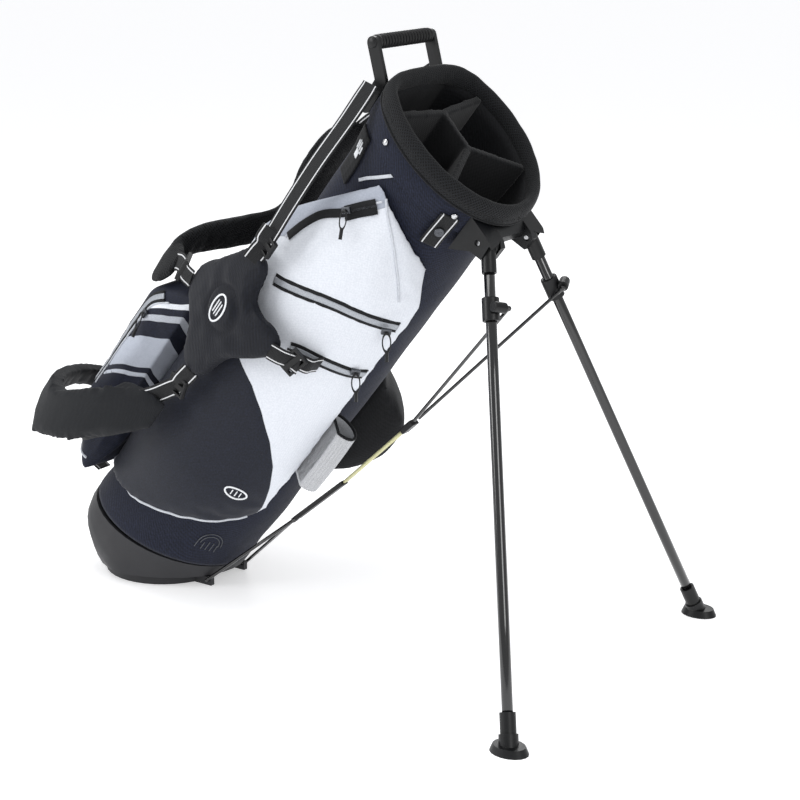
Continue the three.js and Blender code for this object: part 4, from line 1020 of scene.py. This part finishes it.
shell_tree = bag_tree(shell)
shoulder_line = [(112, 690), (106, 703), (100, 714), (93, 728), (86, 742), (80, 750)]
lay_tape("shoulder_stripe", shell_tree, shoulder_line, 0.0042, piping_cloth, 0.0012, 0.0010, 50)

# ---- Drink sleeve: a ribbed knit tube with a bound rim ----
# Elastic rib knit, pale grey, so its ribs run up the sleeve. A black binding closes the rim.
rib_knit, tree, shader = new_material("pale_grey_rib_knit", 0xb0b1b3, 0.85, Sheen_Weight=0.3)
knit = noise_field(tree, add_node(tree, "ShaderNodeTexCoord"), 700.0)
drive(tree, shader, Base_Color=blend_colours(tree, knit, 0x8f9195, 0xd0d1d3),
      Normal=relief(tree, 0.4, 0.0004, knit))
sleeve_x, sleeve_y, sleeve_low, sleeve_high = 0.121, -0.067, 0.312, 0.412
sleeve_rx, sleeve_ry, sleeve_wall, rib_count = 0.025, 0.0175, 0.002, 34
sleeve_sides, sleeve_rows = 204, 26


def pocket_side(x):
    """How far towards the near side the near pocket's front face lies."""
    return -math.tan(math.radians(33)) * x + 0.0018


def sleeve_point(k, z, inset):
    a = 2 * math.pi * k / sleeve_sides
    rib = 0.0006 * math.cos(rib_count * a) if inset < 0.001 else 0.0
    belly = 0.0012 * math.sin(math.pi * (z - sleeve_low) / (sleeve_high - sleeve_low))
    x = sleeve_x + (sleeve_rx - inset - 0.0008 + rib + belly) * math.cos(a)
    y = sleeve_y + (sleeve_ry - inset - 0.0008 + rib + belly) * math.sin(a)
    return x, max(y, pocket_side(x)), z


sleeve_points = []
for inset, first, last in ((0.0, sleeve_low, sleeve_high), (sleeve_wall, sleeve_high, sleeve_low + 0.003)):
    for z in np.linspace(first, last, sleeve_rows):
        sleeve_points += [sleeve_point(k, z, inset) for k in range(sleeve_sides)]
sleeve_faces = grid_faces(2 * sleeve_rows, sleeve_sides) + end_caps(2 * sleeve_rows, sleeve_sides)
make_piece("drink_sleeve_knit", sleeve_points, sleeve_faces, rib_knit,
           replaces=("drink_sleeve",))
rim_path = [sleeve_point(k, sleeve_high, 0.001) for k in range(0, sleeve_sides, 3)]
rim_path = [(x, y, z) for x, y, z in rim_path if y > pocket_side(x)]
rim_points, rim_faces, rim_uv = tube_mesh(rim_path, 0.0019, 8, closed=True)
make_piece("drink_sleeve_binding", rim_points, rim_faces, black_cloth, uv=rim_uv)

# ---- Strap hub and shoulder pads ----
# Foam in navy ripstop outside and black spacer mesh inside, bound round the edge. The hub is quilted
# to a raised round boss that carries an embroidered badge, three plain bars in an oval.

hub = remeshed("hub_padding", "hub_pad", 0.0030, shrink=0.0015, rounds=3)
inflate(hub, 6.0, 0.006, 16)
hub_angle, hub_height = 108.5, 473.0
points = bag_points(hub)
degrees, height = polar(points)
flat_x = (degrees - hub_angle) * math.pi / 180 * 0.176
flat_z = height - hub_height / 1000
from_centre = np.hypot(flat_x, flat_z)
outer = np.hypot(points[:, 0], points[:, 1]) > 0.170
outward = points * np.array([1, 1, 0]) / np.hypot(points[:, 0], points[:, 1])[:, None]
boss = 0.0035 * (1 - ease(0.020, 0.027, from_centre)) - 0.0032 * np.exp(-((from_centre - 0.0295) / 0.0035) ** 2)
pucker = 0.0011 * np.sin(7 * np.arctan2(flat_z, flat_x)) * np.exp(-((from_centre - 0.042) / 0.011) ** 2)
reshape(hub, points + outward * ((boss + pucker) * outer)[:, None])
settle(hub.data, 1)
ripstop = cloth_material("navy_ripstop", 0x080a11, 0x12151f, pitch_mm=2.2, roughness=0.6, sheen=0.03)
pad_cloth = cloth_material("smooth_navy_grey_knit", 0x0a0c10, 0x101318, pitch_mm=1.1, roughness=0.7, sheen=0.03)
dress(hub, ripstop, "hub_pad")
hub_tree = bag_tree(hub)

upper_pad = remeshed("upper_pad_padding", "upper_shoulder_pad", 0.0030, shrink=0.0, rounds=4)
inflate(upper_pad, 5.0, 0.009, 16)
settle(upper_pad.data, 2)
points = bag_points(upper_pad)
turn = np.arctan2(points[:, 1], points[:, 0])
turn = np.where(turn < 0, turn + 2 * math.pi, turn)
set_layout(upper_pad.data, np.stack([turn * 0.19, points[:, 2]], axis=1))
dress(upper_pad, spacer_mesh, "upper_shoulder_pad")

lower_pad = remeshed("lower_pad_padding", "lower_shoulder_pad", 0.0028, shrink=0.0, rounds=4)
inflate(lower_pad, 5.0, 0.009, 16)
settle(lower_pad.data, 2)
dress(lower_pad, pad_cloth, "lower_shoulder_pad")

embroidery = cloth_material("white_embroidery", 0xdcdfe3, 0xf2f3f5, pitch_mm=0.9, roughness=0.6)


def lay_mark(name, tree, line, count, lift, width, thickness, material=embroidery):
    """A thin raised line on a surface, left out where less than a few millimetres of it find the surface."""
    path, normals = lie_on(tree, line, count, lift)
    if len(path) > 4:
        points, faces, uv = ribbon_mesh(path, normals, width, thickness)
        make_piece(name, points, faces, material, uv=uv)


def badge(name, tree, degrees, height, half_wide, half_high, radius):
    """An embroidered oval ring round three plain bars."""
    thread = 0.0013
    wide_degrees = math.degrees(half_wide / radius)
    oval = []
    for k in range(49):
        a = 2 * math.pi * k / 48
        oval.append((degrees + wide_degrees * math.cos(a), height + half_high * 1000 * math.sin(a)))
    lay_mark(f"{name}_ring", tree, oval, 64, 0.0006, thread * 1.7, 0.0012)
    for k, share in enumerate((-0.38, 0.0, 0.38)):
        reach = 0.52 * half_high * 1000 * math.sqrt(1 - share * share)
        bar = [(degrees + wide_degrees * share, height + end * reach) for end in (-1, 1)]
        lay_mark(f"{name}_bar_{k}", tree, bar, 10, 0.0006, thread, 0.0012)


badge("hub_badge", hub_tree, 108.5, 473, 0.0110, 0.0200, 0.178)
badge("pocket_badge", near_tree, 56.5, 258, 0.0150, 0.0085, 0.145)

# ---- Webbing: straps, base loop and snap tab ----
# Flat polypropylene webbing, 25 mm wide, ribbed every 1.8 mm, black with a white line near each edge.
webbing, tree, shader = new_material(
    "black_webbing_white_lines", 0x121316, 0.66, Sheen_Weight=0.05, Specular_IOR_Level=0.3)
place = add_node(tree, "ShaderNodeTexCoord")
parts = add_node(tree, "ShaderNodeSeparateXYZ", None, {0: place.outputs["UV"]})
line_gap = arithmetic(tree, "SUBTRACT", arithmetic(tree, "ABSOLUTE", parts.outputs["X"]), 0.72)
on_line = arithmetic(tree, "LESS_THAN", arithmetic(tree, "ABSOLUTE", line_gap), 0.062)
rib_wave = arithmetic(tree, "SINE", arithmetic(tree, "MULTIPLY", parts.outputs["Y"], 2 * math.pi / 0.0018))
dark = blend_colours(tree, noise_field(tree, place, 600.0), 0x070809, 0x17181b)
drive(tree, shader, Base_Color=blend_colours(tree, on_line, dark, 0xd9dadc),
      Normal=relief(tree, 0.5, 0.0004, rib_wave))

strap_width, strap_thickness = 0.025, 0.0019


def wall_point(degrees, radius, height):
    a = math.radians(-degrees)
    return radius * math.cos(a), radius * math.sin(a), height


def lay_webbing(name, path, normals, node=None, thickness=strap_thickness):
    made, faces, uv = ribbon_mesh(path, normals, strap_width, thickness)
    make_piece(name, made, faces, webbing, replaces=(node,) if node else (), uv=uv)


def strap(name, points, across, node=None, count=70):
    """A length of webbing through points, its width lying along the given direction."""
    path = smooth_path(points, count)
    along = np.gradient(path, axis=0)
    along /= np.linalg.norm(along, axis=1)[:, None]
    normals = np.cross(np.tile(across, (count, 1)), along)
    lay_webbing(name, path, normals / np.linalg.norm(normals, axis=1)[:, None], node)


upright = (0, 0, 1)
near_strap = [
    wall_point(110.4, 0.1715, 0.586), wall_point(110.4, 0.1718, 0.597), wall_point(113.5, 0.1657, 0.640),
    (-0.076, -0.132, 0.690), (-0.086, -0.106, 0.740), (-0.098, -0.080, 0.772), (-0.101, -0.0745, 0.781)]
far_strap = [
    wall_point(209, 0.169, 0.640), (-0.142, 0.081, 0.660), (-0.136, 0.080, 0.676), (-0.129, 0.080, 0.710),
    (-0.118, 0.078, 0.750), (-0.106, 0.076, 0.782)]
strap("webbing_top_near", near_strap, (0.95, -0.3, 0.1), "strap_top_near", 90)
strap("webbing_top_far", far_strap, (0.9, 0.3, 0.1), "strap_top_far")

# Each of these is a list of places round the bag: degrees, radius and height in metres.
side_strap = [(75.5, 0.169, 0.4905), (68, 0.1645, 0.4935), (64.4, 0.163, 0.495), (62.5, 0.157, 0.4965),
              (60.5, 0.151, 0.497)]
hub_front = [(81, 0.1755, 0.486), (76, 0.1735, 0.4885), (71.5, 0.1680, 0.490), (68, 0.1712, 0.4925)]
hub_top = [(109, 0.180, 0.552), (109.6, 0.1765, 0.566), (110, 0.1735, 0.576), (110.2, 0.1768, 0.586),
           (110.4, 0.176, 0.602)]
hub_bottom = [(105, 0.1745, 0.372), (106, 0.1752, 0.352), (107, 0.1725, 0.338), (108.6, 0.1765, 0.326),
              (111, 0.182, 0.308), (114, 0.188, 0.290)]
hub_back = [(139, 0.181, 0.430), (143.5, 0.1895, 0.425), (148, 0.1932, 0.422), (152, 0.1985, 0.416),
            (156, 0.205, 0.404)]
for name, places, across, node, count in (
    ("webbing_side", side_strap, upright, "strap_side", 40),
    ("webbing_hub_front", hub_front, upright, None, 40),
    ("webbing_hub_top", hub_top, (0.95, 0.35, 0), None, 50),
    ("webbing_hub_bottom", hub_bottom, (0.93, 0.36, 0.1), None, 60),
    ("webbing_hub_back", hub_back, upright, None, 50),
):
    strap(name, [wall_point(*place) for place in places], across, node, count)

loop_path = smooth_path([(-0.130, -0.0415, 0.0405), (-0.143, -0.0415, 0.0390), (-0.1522, -0.0415, 0.0440),
                         (-0.1522, -0.0415, 0.0530), (-0.143, -0.0415, 0.0585), (-0.130, -0.0415, 0.0575)], 40)
along = np.gradient(loop_path, axis=0)
loop_normals = np.cross(np.tile((0.0, 1.0, 0.0), (40, 1)), along)
lay_webbing("webbing_base_loop", loop_path, loop_normals, "base_loop")

tab_angle, tab_top, tab_length = 46.0, 0.733, 0.045
tab_path, tab_normals = [], []
for z in np.linspace(tab_top - tab_length, tab_top + 0.004, 30):
    x, y = shell_radius_point(math.radians(-tab_angle), z, 0.0056)
    tab_path.append((float(x), float(y), z))
    tab_normals.append((math.cos(math.radians(tab_angle)), -math.sin(math.radians(tab_angle)), 0.0))
lay_webbing("snap_tab_webbing", tab_path, tab_normals, "snap_tab", 0.0020)

# ---- Snap and rivets: pressed nickel, domed or ringed ----
# Turned shapes in the places of the plain discs: four domed rivets on the collar and one ringed snap.


def disc_on(name, node, radius, height, profile, material):
    """A turned metal piece in the place of a flat CAD disc, facing away from the bag's axis."""
    points = in_bag(node_points(node))
    centre = points.mean(0)
    outward = centre * np.array([1, 1, 0])
    outward /= np.linalg.norm(outward)
    back = centre + outward * ((points - centre) @ outward).min()
    rings = [(share, radius * wide) for share, wide in profile]
    made, faces = turned_points(back, back + outward * height, rings, 40)
    make_piece(name, made, faces, material, replaces=(node,))


dome = [(0, 1.0), (0.25, 1.0), (0.6, 0.82), (0.85, 0.52), (0.97, 0.22)]
for place_name in ("near_back", "near_front", "far_back", "far_front"):
    disc_on(f"rivet_{place_name}", f"collar_rivet_{place_name}", 0.004, 0.0022, dome, nickel)
cap = [(0, 0.96), (0.5, 1.0), (0.9, 0.94), (1.0, 0.82), (0.82, 0.72), (0.82, 0.50), (1.0, 0.42), (1.0, 0.30),
       (0.7, 0.22), (0.7, 0.1)]
disc_on("snap_cap", "snap_button", 0.006, 0.0027, cap, dark_nickel)

# ---- Glove patch: a loop-fastener patch with a plain white mark ----
# The mark is an open hand drawn with four short bars for fingers over one broad bar for the palm.
patch = remeshed("glove_patch_cloth", "glove_patch", 0.0016, rounds=1)
dress(patch, black_cloth, "glove_patch")
patch_tree = bag_tree(patch)
finger_width, palm_width = 0.0024, 0.0095
glove_bars = (
    (123.4, 712, 722, finger_width), (125.8, 714, 726, finger_width), (128.2, 714, 726, finger_width),
    (130.6, 712, 723, finger_width), (127.0, 703, 713, palm_width))
for k, (degrees, low, high, width) in enumerate(glove_bars):
    lay_mark(f"glove_mark_{k}", patch_tree, [(degrees, low), (degrees, high)], 10, 0.0006, width, 0.0009)

# ---- Band mark: thin arched lines over four bars, on the navy band over the cup ----
# Places are millimetres across and up from the foot of the mark.
mark_degrees, mark_height = 42.0, 103.0
mark_lines = []
for reach, rise in ((17.0, 22.0), (13.0, 17.0)):
    arch = [math.pi * t / 12 for t in range(13)]
    mark_lines.append([(-reach * math.cos(a), 12 + rise * math.sin(a)) for a in arch])
for across, top in ((-8.0, 15.0), (-1.5, 18.0), (5.0, 18.0), (11.5, 15.0)):
    mark_lines.append([(across, 2.0), (across, top)])
mark_lines.append([(-17.0, 12.0), (-17.0, 2.0)])
for k, line in enumerate(mark_lines):
    laid = [(mark_degrees - across * math.degrees(0.001 / 0.098), mark_height + up) for across, up in line]
    lay_mark(f"band_mark_{k}", shell_tree, laid, 30, 0.0004, 0.0012, 0.0010, dark_nickel)
